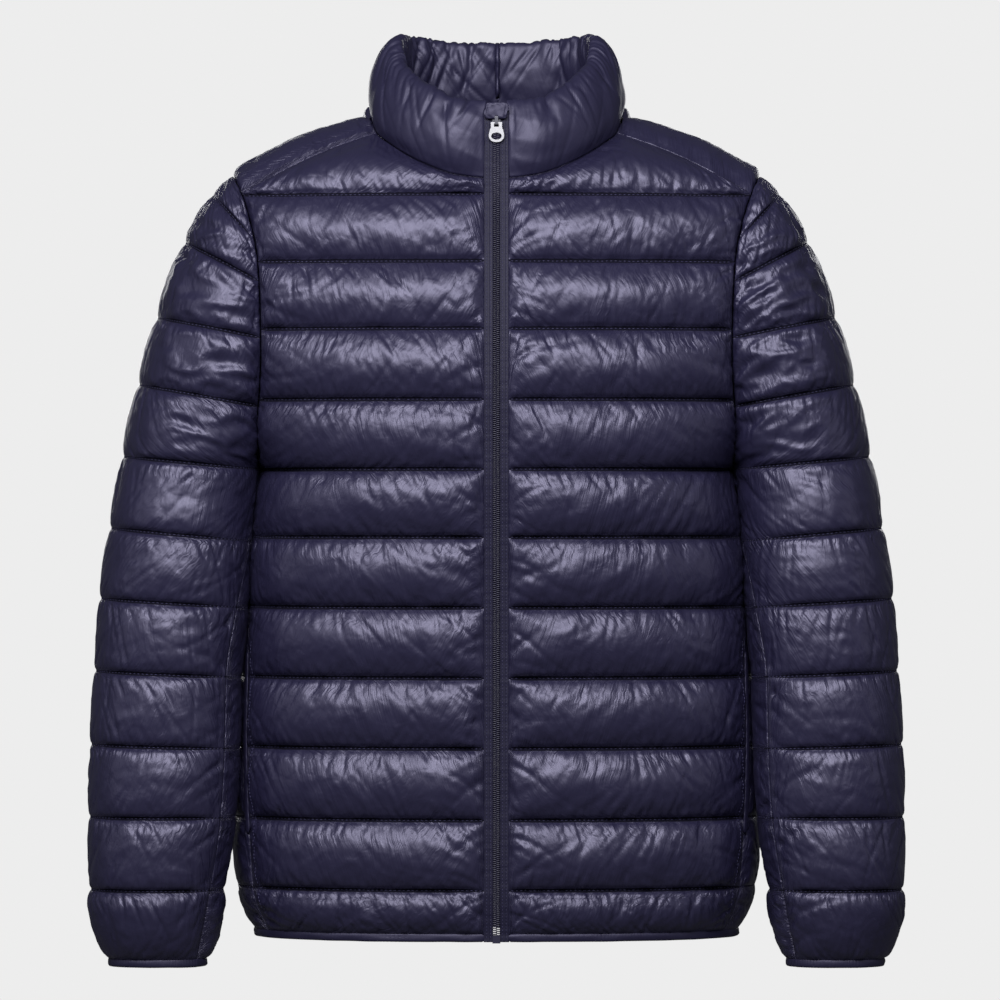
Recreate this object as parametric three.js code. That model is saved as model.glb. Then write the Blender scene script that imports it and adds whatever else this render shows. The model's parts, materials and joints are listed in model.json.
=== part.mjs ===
import * as THREE from "three";

// Puffer jacket, filled out and zipped up, with a stand collar and long sleeves.
// Millimetres, +Z up. The front faces -Y and +X is the wearer's left.
// The origin is the middle of the neck opening at the height of the shoulders.

// Driving sizes
const WALL = 3; // two layers of cloth with flattened down between them, at a stitch line
const SEAM_GAP = 0.3;
const ARMHOLE_GAP = 0.7; // both ways, because the two edges' corners fall at other heights
const BODY_PUFF = 12.5;
const SLEEVE_PUFF = 9;
const COLLAR_HEIGHT = 66;
const ZIP_HALF_OPENING = 9.5; // from the middle of the zip to the quilted edge
const CHAIN_HALF_WIDTH = 3.3;
const BINDING_HEIGHT = 7.5;
const BINDING_THICKNESS = 4.5;
const STEPS = 4; // outer rows between two quilt lines
const TAPER = 24; // how far a puff takes to rise from a seam
const ROUNDNESS = 2.35; // exponent of the body's oval sections

// Body sections, one at each quilt line: height, depth to the front and to the back
// from the side, half width, and how full the puff under the line is at the side.
const BODY = [
  { z: -67, front: 87, back: 85, half: 214, side: 1 },
  { z: -124, front: 106, back: 105, half: 201, side: 1 },
  { z: -181, front: 120, back: 113, half: 198, side: 1 },
  { z: -240.5, front: 127, back: 114, half: 201, side: 1 },
  { z: -299, front: 127, back: 110, half: 202, side: 0 },
  { z: -356, front: 123, back: 105, half: 211, side: 0 },
  { z: -415, front: 120, back: 102, half: 214, side: 0.1 },
  { z: -474, front: 118, back: 101, half: 218, side: 0.15 },
  { z: -533, front: 117, back: 102, half: 221.5, side: 0.15 },
  { z: -593, front: 116, back: 104, half: 222.5, side: 0.15 },
  { z: -652, front: 115, back: 105, half: 220, side: 0.15 },
  { z: -688.5, front: 110, back: 101, half: 206, side: 0.3 },
];
const FIRST_LINE = BODY[0].z;
const LAST_LINE = BODY[BODY.length - 2].z;
const HEM_Z = BODY[BODY.length - 1].z;

// The armhole, an oval seen from the side, that the body and the sleeve share
const ARMHOLE = { top: -47, bottom: -299, front: 80, back: 76, power: 0.9 };
const ARMHOLE_WIDTH = [
  { z: -47, half: 224 },
  { z: -69, half: 214 },
  { z: -100, half: 205 },
  { z: -122, half: 201 },
  { z: -165, half: 198.5 },
  { z: -207, half: 198 },
  { z: -255, half: 201 },
  { z: -299, half: 202 },
];

// The side seam runs from the armpit to a little in front of the side at the hem.
const SIDE_SEAM = [
  { z: -299, y: 0 },
  { z: -356, y: -18 },
  { z: -448, y: -38 },
  { z: -533, y: -45 },
  { z: -652, y: -51 },
  { z: -688.5, y: -48 },
];

// Neck seam: angle from the front, in degrees, and the seam's place at that angle
const NECK = [
  { angle: 0, half: 0, y: -85, z: -55.5, height: 66 },
  { angle: 18, half: 33.5, y: -82, z: -51.5, height: 66 },
  { angle: 37, half: 64, y: -69, z: -40, height: 66 },
  { angle: 57, half: 89, y: -47, z: -24.5, height: 66.5 },
  { angle: 73, half: 102, y: -26, z: -13, height: 68 },
  { angle: 90, half: 105.5, y: 0, z: 2, height: 71 },
  { angle: 115, half: 95, y: 35, z: 3, height: 75 },
  { angle: 145, half: 57, y: 65, z: -2, height: 79 },
  { angle: 180, half: 0, y: 73, z: -5, height: 78 },
];
const SHOULDER_ANGLE = 73; // where the forward shoulder seam meets the neck seam

// Sleeve rings, one at each quilt line and at the cuff: the outer and the inner point of
// the stitched surface seen from the front, half depth, middle, and the seam's angle.
const SLEEVE = [
  { outX: 224.5, outZ: -49, inZ: -60, depth: 30, y: 0, seam: 0 },
  { outX: 241, outZ: -65, inZ: -104, depth: 62, y: 0, seam: 0 },
  { outX: 265, outZ: -106, inZ: -140, depth: 79, y: 0, seam: 0 },
  { outX: 288.5, outZ: -170, inZ: -188, depth: 84, y: -2, seam: 0 },
  { outX: 304, outZ: -227, inZ: -246, depth: 82, y: -5, seam: 0 },
  { outX: 317, outZ: -288, inX: 202.5, inZ: -299, depth: 76, y: -11, seam: 0 },
  { outX: 327, outZ: -348.5, inX: 211.5, inZ: -359.5, depth: 69, y: -25, seam: 14 },
  { outX: 335, outZ: -408, inX: 214.5, inZ: -415.5, depth: 63, y: -35, seam: 30 },
  { outX: 340.5, outZ: -469, inX: 219.3, inZ: -474, depth: 59, y: -42, seam: 36 },
  { outX: 344.5, outZ: -531, inX: 220.5, inZ: -534, depth: 57, y: -47, seam: 36 },
  { outX: 345.5, outZ: -592, inX: 223, inZ: -592, depth: 55, y: -51, seam: 36 },
  { outX: 344.5, outZ: -653, inX: 231, inZ: -653, depth: 53, y: -54, seam: 36 },
  { outX: 331, outZ: -711.5, inX: 245, inZ: -711.5, depth: 34, y: -56, seam: 36 },
];
const ARMPIT_RING = 5;

// Where a pocket opens in the side seam
const POCKET = { top: -454, bottom: -606, width: 5, thickness: 1.6 };

const COLOURS = { cloth: 0x2c2948, binding: 0x25223f, tape: 0x211f38, coil: 0x26262e };

// Smooth curve through one column of a table, by the column that orders it
function column(rows, key, by = "z") {
  const xs = rows.map((row) => row[by]);
  const ys = rows.map((row) => row[key]);
  const slopes = ys.map((y, i) => {
    if (i === 0 || i === ys.length - 1) {
      const j = i === 0 ? 1 : i;
      return (ys[j] - ys[j - 1]) / (xs[j] - xs[j - 1]);
    }
    const before = (y - ys[i - 1]) / (xs[i] - xs[i - 1]);
    const after = (ys[i + 1] - y) / (xs[i + 1] - xs[i]);
    return before * after <= 0 ? 0 : (2 * before * after) / (before + after);
  });
  return (x) => {
    const falling = xs[0] > xs[1];
    let i = 0;
    while (i < xs.length - 2 && (falling ? x < xs[i + 1] : x > xs[i + 1])) i += 1;
    const span = xs[i + 1] - xs[i];
    const t = THREE.MathUtils.clamp((x - xs[i]) / span, 0, 1);
    const a = 2 * t ** 3 - 3 * t ** 2 + 1;
    const b = t ** 3 - 2 * t ** 2 + t;
    const c = -2 * t ** 3 + 3 * t ** 2;
    const d = t ** 3 - t ** 2;
    return a * ys[i] + b * span * slopes[i] + c * ys[i + 1] + d * span * slopes[i + 1];
  };
}

const vec = (x, y, z) => new THREE.Vector3(x, y, z);
const mix = (a, b, t) => a + (b - a) * t;
const range = (count) => Array.from({ length: count }, (_, i) => i);
const mirrored = (point) => vec(-point.x, point.y, point.z);

// Cubic Bezier point between two points that each have a handle
function bezier(p0, p1, p2, p3, t) {
  const s = 1 - t;
  return vec(0, 0, 0)
    .addScaledVector(p0, s * s * s)
    .addScaledVector(p1, 3 * s * s * t)
    .addScaledVector(p2, 3 * s * t * t)
    .addScaledVector(p3, t * t * t);
}

// Points at equal distances along a curve given by a function of 0 to 1
function spread(curve, count) {
  const fine = range(121).map((i) => curve(i / 120));
  const along = [0];
  for (let i = 1; i < fine.length; i += 1) {
    along.push(along[i - 1] + fine[i].distanceTo(fine[i - 1]));
  }
  return range(count + 1).map((k) => {
    const target = (along[120] * k) / count;
    let i = 1;
    while (i < 120 && along[i] < target) i += 1;
    const t = (target - along[i - 1]) / (along[i] - along[i - 1]);
    return fine[i - 1].clone().lerp(fine[i], t);
  });
}

// How high a puff stands part of the way from one quilt line to the next
const arch = (t) => Math.sqrt(Math.max(0, 1 - (2 * t - 1) ** 2)) ** 0.9;

// How high it stands at a distance from a seam that crosses it
const rise = (distance) => {
  const t = THREE.MathUtils.clamp(distance / TAPER, 0, 1);
  return Math.sqrt(1 - (1 - t) ** 2);
};

// Surface normals of a grid of rows and columns, from the neighbours of each point
function gridNormals(grid, outward) {
  const last = grid.length - 1;
  const end = grid[0].length - 1;
  return grid.map((row, r) => row.map((point, c) => {
    const wraps = row[0].distanceTo(row[end]) < 1e-6;
    const before = wraps && c === 0 ? row[end - 1] : row[Math.max(0, c - 1)];
    const after = wraps && c === end ? row[1] : row[Math.min(end, c + 1)];
    const across = after.clone().sub(before);
    const along = grid[Math.min(last, r + 1)][c].clone().sub(grid[Math.max(0, r - 1)][c]);
    return along.cross(across).normalize().multiplyScalar(outward);
  }));
}

// Closed mesh from triangles given as triples of points
function meshOf(name, triangles, colour, roughness = 0.45, metalness = 0) {
  let volume = 0;
  const cross = vec(0, 0, 0);
  triangles.forEach(([a, b, c]) => {
    volume += a.dot(cross.crossVectors(b, c));
  });
  const turned = volume < 0 ? triangles.map(([a, b, c]) => [a, c, b]) : triangles;
  const solid = turned.filter(([a, b, c]) => (
    a.distanceTo(b) > 1e-3 && b.distanceTo(c) > 1e-3 && c.distanceTo(a) > 1e-3
  ));
  const positions = solid.flat().flatMap((p) => [p.x, p.y, p.z]);
  const geometry = new THREE.BufferGeometry();
  geometry.setAttribute("position", new THREE.Float32BufferAttribute(positions, 3));
  geometry.computeVertexNormals();
  const material = new THREE.MeshStandardMaterial({ color: colour, roughness, metalness });
  const mesh = new THREE.Mesh(geometry, material);
  mesh.name = name;
  return mesh;
}

const quad = (a, b, c, d) => [[a, b, c], [a, c, d]];

// Triangles of a grid of points
function gridFaces(grid) {
  const faces = [];
  for (let r = 0; r + 1 < grid.length; r += 1) {
    for (let c = 0; c + 1 < grid[r].length; c += 1) {
      faces.push(...quad(grid[r][c], grid[r][c + 1], grid[r + 1][c + 1], grid[r + 1][c]));
    }
  }
  return faces;
}

// Triangles between an outer edge with STEPS points for each point of the inner edge
function rimFaces(outer, inner) {
  const faces = [];
  for (let k = 0; k + 1 < inner.length; k += 1) {
    for (let s = 0; s < STEPS; s += 1) {
      const i = k * STEPS + s;
      const from = s < STEPS / 2 ? inner[k] : inner[k + 1];
      faces.push([from, outer[i], outer[i + 1]]);
    }
    faces.push([inner[k], outer[k * STEPS + STEPS / 2], inner[k + 1]]);
  }
  return faces;
}

// Closed quilted wall: the stitched surface, pushed out by each puff, over a plain inside.
// The inner surface has rows at the quilt lines only. Rows above ringFrom are open at the
// sides and get a rim there; rows from ringFrom on close into a ring.
function quiltedShell(name, base, puffs, outward, options = {}) {
  const { edgeNormals = {}, ringFrom = base.length } = options;
  const normals = gridNormals(base, outward);
  const end = base[0].length - 1;
  base.forEach((row, r) => {
    if (edgeNormals.first && r <= ringFrom) normals[r][0] = edgeNormals.first(row[0], r);
    if (edgeNormals.last && r <= ringFrom) normals[r][end] = edgeNormals.last(row[end], r);
    if (edgeNormals.top && r === 0) {
      row.forEach((point, c) => {
        normals[0][c] = edgeNormals.top(point, c);
      });
    }
  });
  const outer = base.map((row, r) => row.map((point, c) => (
    point.clone().addScaledVector(normals[r][c], puffs[r][c])
  )));
  const lines = range((base.length - 1) / STEPS + 1).map((k) => k * STEPS);
  const inner = lines.map((r) => base[r].map((point, c) => (
    point.clone().addScaledVector(normals[r][c], -WALL)
  )));
  const openRows = Math.min(ringFrom, base.length - 1);
  const openLines = openRows / STEPS;
  const faces = gridFaces(outer);
  faces.push(...flipped(gridFaces(inner)));
  const side = (c) => rimFaces(
    outer.slice(0, openRows + 1).map((row) => row[c]),
    inner.slice(0, openLines + 1).map((row) => row[c]),
  );
  faces.push(...side(0), ...flipped(side(end)));
  faces.push(...gridFaces([inner[0], outer[0]]));
  faces.push(...gridFaces([outer[outer.length - 1], inner[inner.length - 1]]));
  return meshOf(name, faces, COLOURS.cloth);
}

function flipped(faces) {
  return faces.map(([a, b, c]) => [a, c, b]);
}

// Body sections
const frontDepth = column(BODY, "front");
const backDepth = column(BODY, "back");
const bodyHalf = column(BODY, "half");
const sideFullness = column(BODY, "side");
const armholeHalf = column(ARMHOLE_WIDTH, "half");
const seamY = column(SIDE_SEAM, "y");

// Point of the armhole at a height, on the front (-1) or the back (1)
function armholePoint(z, facing) {
  const middle = (ARMHOLE.top + ARMHOLE.bottom) / 2;
  const reach = (ARMHOLE.top - ARMHOLE.bottom) / 2;
  const cosine = THREE.MathUtils.clamp((z - middle) / reach, -1, 1);
  const depth = facing < 0 ? ARMHOLE.front : ARMHOLE.back;
  const sine = Math.sqrt(1 - cosine * cosine);
  return vec(armholeHalf(z), facing * depth * sine ** ARMHOLE.power, z);
}

// Direction away from the armhole's middle, in the plane seen from the side
function armholeNormal(point) {
  const middle = (ARMHOLE.top + ARMHOLE.bottom) / 2;
  return vec(0, point.y, (point.z - middle) * 0.75).normalize();
}

// Half width of the whole oval that passes through the panel's edge at this height
function ovalHalf(z, facing) {
  if (z <= ARMHOLE.bottom) return bodyHalf(z);
  const edge = armholePoint(z, facing);
  const depth = facing < 0 ? frontDepth(z) : backDepth(z);
  const part = 1 - (Math.abs(edge.y) / depth) ** ROUNDNESS;
  return edge.x / part ** (1 / ROUNDNESS);
}

// Point of the body's oval at a height and at an angle from the front
function ovalPoint(z, angle) {
  const facing = Math.abs(angle) < Math.PI / 2 ? -1 : 1;
  const depth = facing < 0 ? frontDepth(z) : backDepth(z);
  const half = ovalHalf(z, facing);
  const across = Math.abs(Math.sin(angle)) / half;
  const forward = Math.abs(Math.cos(angle)) / depth;
  const radius = (across ** ROUNDNESS + forward ** ROUNDNESS) ** (-1 / ROUNDNESS);
  return vec(radius * Math.sin(angle), -radius * Math.cos(angle), z);
}

// Normal of the oval at a point of the side seam, level
function seamNormal(point) {
  const half = bodyHalf(point.z);
  const depth = point.y < 0 ? frontDepth(point.z) : backDepth(point.z);
  const nx = (Math.abs(point.x) / half) ** (ROUNDNESS - 1) / half;
  const ny = (Math.abs(point.y) / depth) ** (ROUNDNESS - 1) / depth;
  return vec(Math.sign(point.x) * nx, Math.sign(point.y) * ny, 0).normalize();
}

// Angle of the panel's side edge at a height: the side seam, or the armhole above it
function edgeAngle(z, facing) {
  if (z <= ARMHOLE.bottom) {
    const y = seamY(z) + (facing * SEAM_GAP) / 2;
    const depth = y < 0 ? frontDepth(z) : backDepth(z);
    const x = bodyHalf(z) * (1 - (Math.abs(y) / depth) ** ROUNDNESS) ** (1 / ROUNDNESS);
    return Math.atan2(x, -y);
  }
  const point = armholePoint(z, facing);
  const offset = z < ARMHOLE.bottom + 1 ? (facing * SEAM_GAP) / 2 : 0;
  return Math.atan2(point.x, -point.y - offset);
}

// Heights of the rows: STEPS of them between two quilt lines
function rowHeights() {
  const heights = [];
  BODY.slice(0, -1).forEach((line, i) => {
    range(STEPS).forEach((s) => heights.push(mix(line.z, BODY[i + 1].z, s / STEPS)));
  });
  heights.push(HEM_Z);
  return heights;
}

// Neck seam by its angle from the front
const neckHalf = column(NECK, "half", "angle");
const neckY = column(NECK, "y", "angle");
const neckZ = column(NECK, "z", "angle");
const neckHeight = column(NECK, "height", "angle");

function neckPoint(angle) {
  return vec(neckHalf(angle), neckY(angle), neckZ(angle));
}

// Forward shoulder seam, from the neck seam to the armhole
const SHOULDER_END = armholePoint(-66, -1);

function shoulderPoint(t) {
  const start = neckPoint(SHOULDER_ANGLE);
  const point = start.lerp(SHOULDER_END, t);
  point.z += 5 * Math.sin(Math.PI * t);
  return point;
}

const SHOULDER_NORMAL = vec(0.25, -0.62, 0.74).normalize();
const SHOULDER_TANGENT = vec(0.05, 0.62, 0.75).normalize();

// How high the puff stands in the quilting of a panel, by row and by distance from its edges
function panelPuffs(base, height, fullness) {
  return base.map((row, r) => {
    const along = [0];
    for (let c = 1; c < row.length; c += 1) {
      along.push(along[c - 1] + row[c].distanceTo(row[c - 1]));
    }
    const whole = along[along.length - 1];
    return row.map((point, c) => (
      height * arch((r % STEPS) / STEPS) * rise(along[c]) * rise(whole - along[c])
      * fullness(point, r)
    ));
  });
}

// Puffs are flatter at the side, where the sleeve hangs against the body
function bodyFullness(point) {
  const toSide = 1 - THREE.MathUtils.clamp((Math.abs(point.y) - 20) / 60, 0, 1);
  const atSide = point.z < FIRST_LINE ? sideFullness(point.z) : 1;
  const hem = point.z < LAST_LINE ? 0.7 : 1;
  return mix(1, atSide, toSide) * hem;
}

// Rows over the shoulder, from a curve on the first quilt line to the top edge
function topRows(bottomRow, upward, topEdge, topHandles) {
  return range(STEPS).map((s) => {
    const t = 1 - s / STEPS;
    return bottomRow.map((point, c) => {
      const reach = point.distanceTo(topEdge[c]) * 0.37;
      const leaving = point.clone().addScaledVector(upward[c], reach);
      const arriving = topEdge[c].clone().addScaledVector(topHandles[c], reach);
      return bezier(point, leaving, arriving, topEdge[c], t);
    });
  });
}

// Direction up the body at each point of the first quilt line
function upwardAt(rowAt) {
  const line = rowAt(FIRST_LINE);
  const above = rowAt(FIRST_LINE + 2);
  return line.map((point, c) => above[c].clone().sub(point).normalize());
}

// Front panel on the wearer's left, from the zip to the side seam
const FRONT_COLUMNS = 12;

function frontBase() {
  const rowAt = (z) => {
    const start = Math.asin(ZIP_HALF_OPENING / frontDepth(z));
    return spread((t) => ovalPoint(z, mix(start, edgeAngle(z, -1), t)), FRONT_COLUMNS);
  };
  const neckColumns = FRONT_COLUMNS / 2;
  const start = 4.9;
  const topEdge = range(FRONT_COLUMNS + 1).map((c) => (
    c <= neckColumns
      ? neckPoint(mix(start, SHOULDER_ANGLE, c / neckColumns))
      : shoulderPoint((c - neckColumns) / neckColumns)
  ));
  topEdge[0].x = ZIP_HALF_OPENING;
  topEdge.forEach((point, c) => {
    if (c >= neckColumns) point.addScaledVector(SHOULDER_TANGENT, -1.5 * SEAM_GAP);
  });
  const downward = vec(0, -0.45, -0.9).normalize();
  const top = topRows(rowAt(FIRST_LINE), upwardAt(rowAt), topEdge, topEdge.map(() => downward));
  return [...top, ...rowHeights().map(rowAt)];
}

function front(name, side) {
  const base = frontBase();
  const puffs = panelPuffs(base, BODY_PUFF, (point, r) => (
    bodyFullness(point) * (r < STEPS ? 0.55 : 1)
  ));
  const sided = base.map((row) => row.map((p) => (side > 0 ? p : mirrored(p))));
  const lean = (v) => (side > 0 ? v : mirrored(v));
  const edgeNormals = {
    first: () => vec(0, -1, 0),
    last: (p) => (p.z > ARMHOLE.bottom - 0.5 ? armholeNormal(p) : seamNormal(p)),
    top: (p, c) => (c < FRONT_COLUMNS / 2 ? vec(0, -0.8, 0.6) : lean(SHOULDER_NORMAL.clone())),
  };
  return quiltedShell(name, sided, puffs, side, { edgeNormals });
}

// Back panel: it comes forward over both shoulders to the forward seams
const BACK_COLUMNS = 24;

function backBase() {
  const half = BACK_COLUMNS / 2;
  const rowAt = (z) => {
    const right = spread((t) => ovalPoint(z, mix(Math.PI, edgeAngle(z, 1), t)), half);
    return [...right.slice(1).reverse(), ...right.map(mirrored)];
  };
  const neckColumns = half / 2;
  const halfEdge = range(half + 1).map((c) => (
    c <= neckColumns
      ? neckPoint(mix(180, SHOULDER_ANGLE, c / neckColumns))
      : shoulderPoint((c - neckColumns) / neckColumns)
  ));
  const halfHandles = range(half + 1).map((c) => {
    const t = THREE.MathUtils.smoothstep(c / neckColumns, 0.5, 1);
    return vec(0, 0.6, -0.8).lerp(SHOULDER_TANGENT, t).normalize();
  });
  const topEdge = [...halfEdge.slice(1).reverse(), ...halfEdge.map(mirrored)];
  const handles = [...halfHandles.slice(1).reverse(), ...halfHandles.map(mirrored)];
  const top = topRows(rowAt(FIRST_LINE), upwardAt(rowAt), topEdge, handles);
  top.forEach((row, s) => {
    const t = s / STEPS;
    row[0] = overArmhole(t);
    row[row.length - 1] = mirrored(row[0]);
  });
  return [...top, ...rowHeights().map(rowAt)];
}

// Point of the armhole's top, from its front end at the shoulder seam (0) over the ridge
// to the first quilt line at the back (1)
function overArmhole(t) {
  const middle = (ARMHOLE.top + ARMHOLE.bottom) / 2;
  const reach = (ARMHOLE.top - ARMHOLE.bottom) / 2;
  const from = -Math.acos((SHOULDER_END.z - middle) / reach);
  const to = Math.acos((FIRST_LINE - middle) / reach);
  const angle = mix(from, to, t);
  return armholePoint(middle + reach * Math.cos(angle), Math.sign(angle) || 1);
}

function back() {
  const base = backBase();
  const puffs = panelPuffs(base, BODY_PUFF, (point, r) => (
    bodyFullness(point) * (r < STEPS ? 0.4 : 1)
  ));
  const edge = (p, r) => (
    r <= STEPS || p.z > ARMHOLE.bottom - 0.5 ? armholeNormal(p) : seamNormal(p)
  );
  const edgeNormals = {
    first: edge,
    last: edge,
    top: (p, c) => {
      const near = Math.abs(c - BACK_COLUMNS / 2);
      if (near >= BACK_COLUMNS / 4) {
        return p.x > 0 ? SHOULDER_NORMAL.clone() : mirrored(SHOULDER_NORMAL);
      }
      const turn = near / (BACK_COLUMNS / 4);
      return vec(Math.sign(p.x) * turn, mix(0.8, -0.3, turn), 0.6).normalize();
    },
  };
  return quiltedShell("back", base, puffs, 1, { edgeNormals });
}

// Sleeve rings between two lines of the table
function sleeveRow(index, t) {
  const row = {};
  ["outX", "outZ", "inZ", "depth", "y", "seam"].forEach((key) => {
    row[key] = sleeveColumns[key](index + t);
  });
  row.inX = index + t >= ARMPIT_RING ? sleeveColumns.inX(index + t) : 0;
  return row;
}

const NUMBERED = SLEEVE.map((ring, i) => ({ ...ring, i }));
const sleeveColumns = {};
["outX", "outZ", "inZ", "depth", "y", "seam"].forEach((key) => {
  sleeveColumns[key] = column(NUMBERED, key, "i");
});
sleeveColumns.inX = column(NUMBERED.slice(ARMPIT_RING), "inX", "i");

const SLEEVE_COLUMNS = 20;
const SLEEVE_ROUNDNESS = 2.15;

// Point of a ring at an angle from its inner point, going round by the front
function ringPoint(outer, inner, middleY, depth, angle) {
  const radius = outer.distanceTo(inner) / 2;
  const toOuter = outer.clone().sub(inner).normalize();
  const centre = outer.clone().lerp(inner, 0.5);
  const power = 2 / SLEEVE_ROUNDNESS;
  const along = -Math.sign(Math.cos(angle)) * Math.abs(Math.cos(angle)) ** power;
  const over = -Math.sign(Math.sin(angle)) * Math.abs(Math.sin(angle)) ** power;
  const point = centre.addScaledVector(toOuter, along * radius);
  point.y += over * depth;
  point.y = point.y || middleY;
  return point;
}

// Part of a ring from the armhole to the outermost point, for the front or the back
function cutHalf(row, facing) {
  const start = armholePoint(row.inZ, facing);
  start.addScaledVector(armholeNormal(start), -ARMHOLE_GAP);
  start.x += ARMHOLE_GAP;
  const outer = vec(row.outX, row.y, row.outZ);
  const depth = Math.max(row.depth, Math.abs(start.y - row.y) * 1.02);
  const part = Math.abs(start.y - row.y) / depth;
  const power = 2 / SLEEVE_ROUNDNESS;
  const angle = Math.asin(Math.min(1, part) ** (1 / power));
  const flat = vec(start.x, row.y, start.z);
  const behind = Math.cos(angle) ** power;
  const radius = outer.distanceTo(flat) / (1 + behind);
  const inner = outer.clone().addScaledVector(outer.clone().sub(flat).normalize(), -2 * radius);
  return spread((t) => {
    const turn = facing * mix(angle, Math.PI, t);
    const point = ringPoint(outer, inner, row.y, depth, -turn);
    return t === 0 ? start.clone() : point;
  }, SLEEVE_COLUMNS / 2);
}

function sleeveBase() {
  const rings = SLEEVE.length - 1;
  return range(rings * STEPS + 1).map((k) => {
    const index = Math.min(Math.floor(k / STEPS), rings - 1);
    const row = sleeveRow(index, k / STEPS - index);
    if (k < ARMPIT_RING * STEPS) {
      const ahead = cutHalf(row, -1);
      const behind = cutHalf(row, 1);
      return [...ahead, ...behind.slice(0, -1).reverse()];
    }
    const outer = vec(row.outX, row.y, row.outZ);
    const inner = vec(row.inX, row.y, row.inZ);
    const turned = THREE.MathUtils.degToRad(row.seam);
    const arc = (from, to) => spread((t) => (
      ringPoint(outer, inner, row.y, row.depth, mix(from, to, t))
    ), SLEEVE_COLUMNS / 2);
    const ahead = arc(turned, Math.PI);
    const behind = arc(Math.PI, turned + 2 * Math.PI);
    behind[SLEEVE_COLUMNS / 2] = ahead[0].clone();
    return [...ahead, ...behind.slice(1)];
  });
}

// The sleeve's puffs are flat on the inside, against the body, and low on the outermost side
function sleeveFullness(point, row, r) {
  const k = Math.min(r / STEPS, SLEEVE.length - 1);
  const ring = sleeveRow(Math.min(Math.floor(k), SLEEVE.length - 2), k - Math.floor(k));
  const inX = k < ARMPIT_RING ? ARMHOLE_WIDTH[4].half : ring.inX;
  const across = (point.x - inX) / (ring.outX - inX);
  const outermost = mix(1, 0.25, THREE.MathUtils.smoothstep(across, 0.75, 1));
  if (k < ARMPIT_RING) return (k < 1 ? 0.6 : 1) * outermost;
  const least = k < ARMPIT_RING + 1 ? 0 : 0.1;
  return mix(least, 1, THREE.MathUtils.smoothstep(across, 0.02, 0.4)) * outermost;
}

function sleeve(name, side) {
  const base = sleeveBase();
  const puffs = panelPuffs(base, SLEEVE_PUFF, (point, r) => sleeveFullness(point, base[r], r));
  const sided = base.map((row) => row.map((p) => (side > 0 ? p : mirrored(p))));
  const edgeNormals = { first: armholeNormal, last: armholeNormal, top: armholeNormal };
  const ringFrom = ARMPIT_RING * STEPS;
  return quiltedShell(name, sided, puffs, side, { edgeNormals, ringFrom });
}

// Swept section: a closed profile carried along a list of frames
function sweep(name, frames, profile, colour, closed = false, roughness = 0.5) {
  const rings = frames.map(({ at, out, up }) => profile.map(([o, u]) => (
    at.clone().addScaledVector(out, o).addScaledVector(up, u)
  )));
  const faces = [];
  const count = closed ? rings.length : rings.length - 1;
  for (let r = 0; r < count; r += 1) {
    const here = rings[r];
    const next = rings[(r + 1) % rings.length];
    for (let c = 0; c < profile.length; c += 1) {
      const d = (c + 1) % profile.length;
      faces.push(...quad(here[c], here[d], next[d], next[c]));
    }
  }
  if (!closed) {
    const first = rings[0];
    const last = rings[rings.length - 1];
    for (let c = 1; c + 1 < profile.length; c += 1) {
      faces.push([first[0], first[c + 1], first[c]]);
      faces.push([last[0], last[c], last[c + 1]]);
    }
  }
  return meshOf(name, faces, colour, roughness);
}

// Collar profile at full height: distance out of the neck seam's line, and height
const COLLAR_PROFILE = [
  [0, 0], [6, 12], [8, 28], [6, 44], [1, 58], [-6, 65], [-13, 64],
  [-17, 54], [-18, 40], [-17, 24], [-12, 10], [-5, 0],
];

// The collar stands on the neck seam, leans in a little and is flat beside the zip.
function collar() {
  const angles = range(37).map((i) => mix(-175.1, 175.1, i / 36) + 180);
  const faces = [];
  const rings = angles.map((turn) => {
    const angle = turn > 180 ? 360 - turn : turn;
    const side = turn > 180 ? -1 : 1;
    const at = neckPoint(angle);
    const ahead = neckPoint(Math.min(angle + 2, 180));
    const behind = neckPoint(Math.max(angle - 2, 0));
    const along = ahead.clone().sub(behind);
    const out = vec(along.y, -along.x, 0).normalize();
    if (angle < 5) at.x = ZIP_HALF_OPENING;
    const edge = rise(Math.max(0, at.x - ZIP_HALF_OPENING) + (at.y > -60 ? TAPER : 0));
    const full = mix(0.35, 1, edge);
    const taller = neckHeight(angle) / COLLAR_HEIGHT;
    const ring = COLLAR_PROFILE.map(([o, u]) => {
      const lean = (u / COLLAR_HEIGHT) * 7;
      const middle = -2.5;
      const point = at.clone().addScaledVector(out, middle + (o - middle) * full - lean);
      point.z += 3 * SEAM_GAP + u * taller;
      return point;
    });
    return side > 0 ? ring : ring.map(mirrored);
  });
  for (let r = 0; r + 1 < rings.length; r += 1) {
    for (let c = 0; c < COLLAR_PROFILE.length; c += 1) {
      const d = (c + 1) % COLLAR_PROFILE.length;
      faces.push(...quad(rings[r][c], rings[r][d], rings[r + 1][d], rings[r + 1][c]));
    }
  }
  const first = rings[0];
  const last = rings[rings.length - 1];
  const strips = COLLAR_PROFILE.length / 2;
  for (let c = 0; c + 1 < strips; c += 1) {
    const opposite = COLLAR_PROFILE.length - 1 - c;
    faces.push(...flipped(quad(first[c], first[c + 1], first[opposite - 1], first[opposite])));
    faces.push(...quad(last[c], last[c + 1], last[opposite - 1], last[opposite]));
  }
  return meshOf("collar", faces, COLOURS.cloth);
}

// Rounded binding section, standing out and in from the edge that it closes
const BINDING_PROFILE = range(8).map((i) => {
  const angle = (i * Math.PI) / 4 + Math.PI / 8;
  const square = 1.08;
  return [
    (BINDING_THICKNESS / 2) * Math.cos(angle) * square,
    (BINDING_HEIGHT / 2) * Math.sin(angle) * square,
  ];
});

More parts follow.
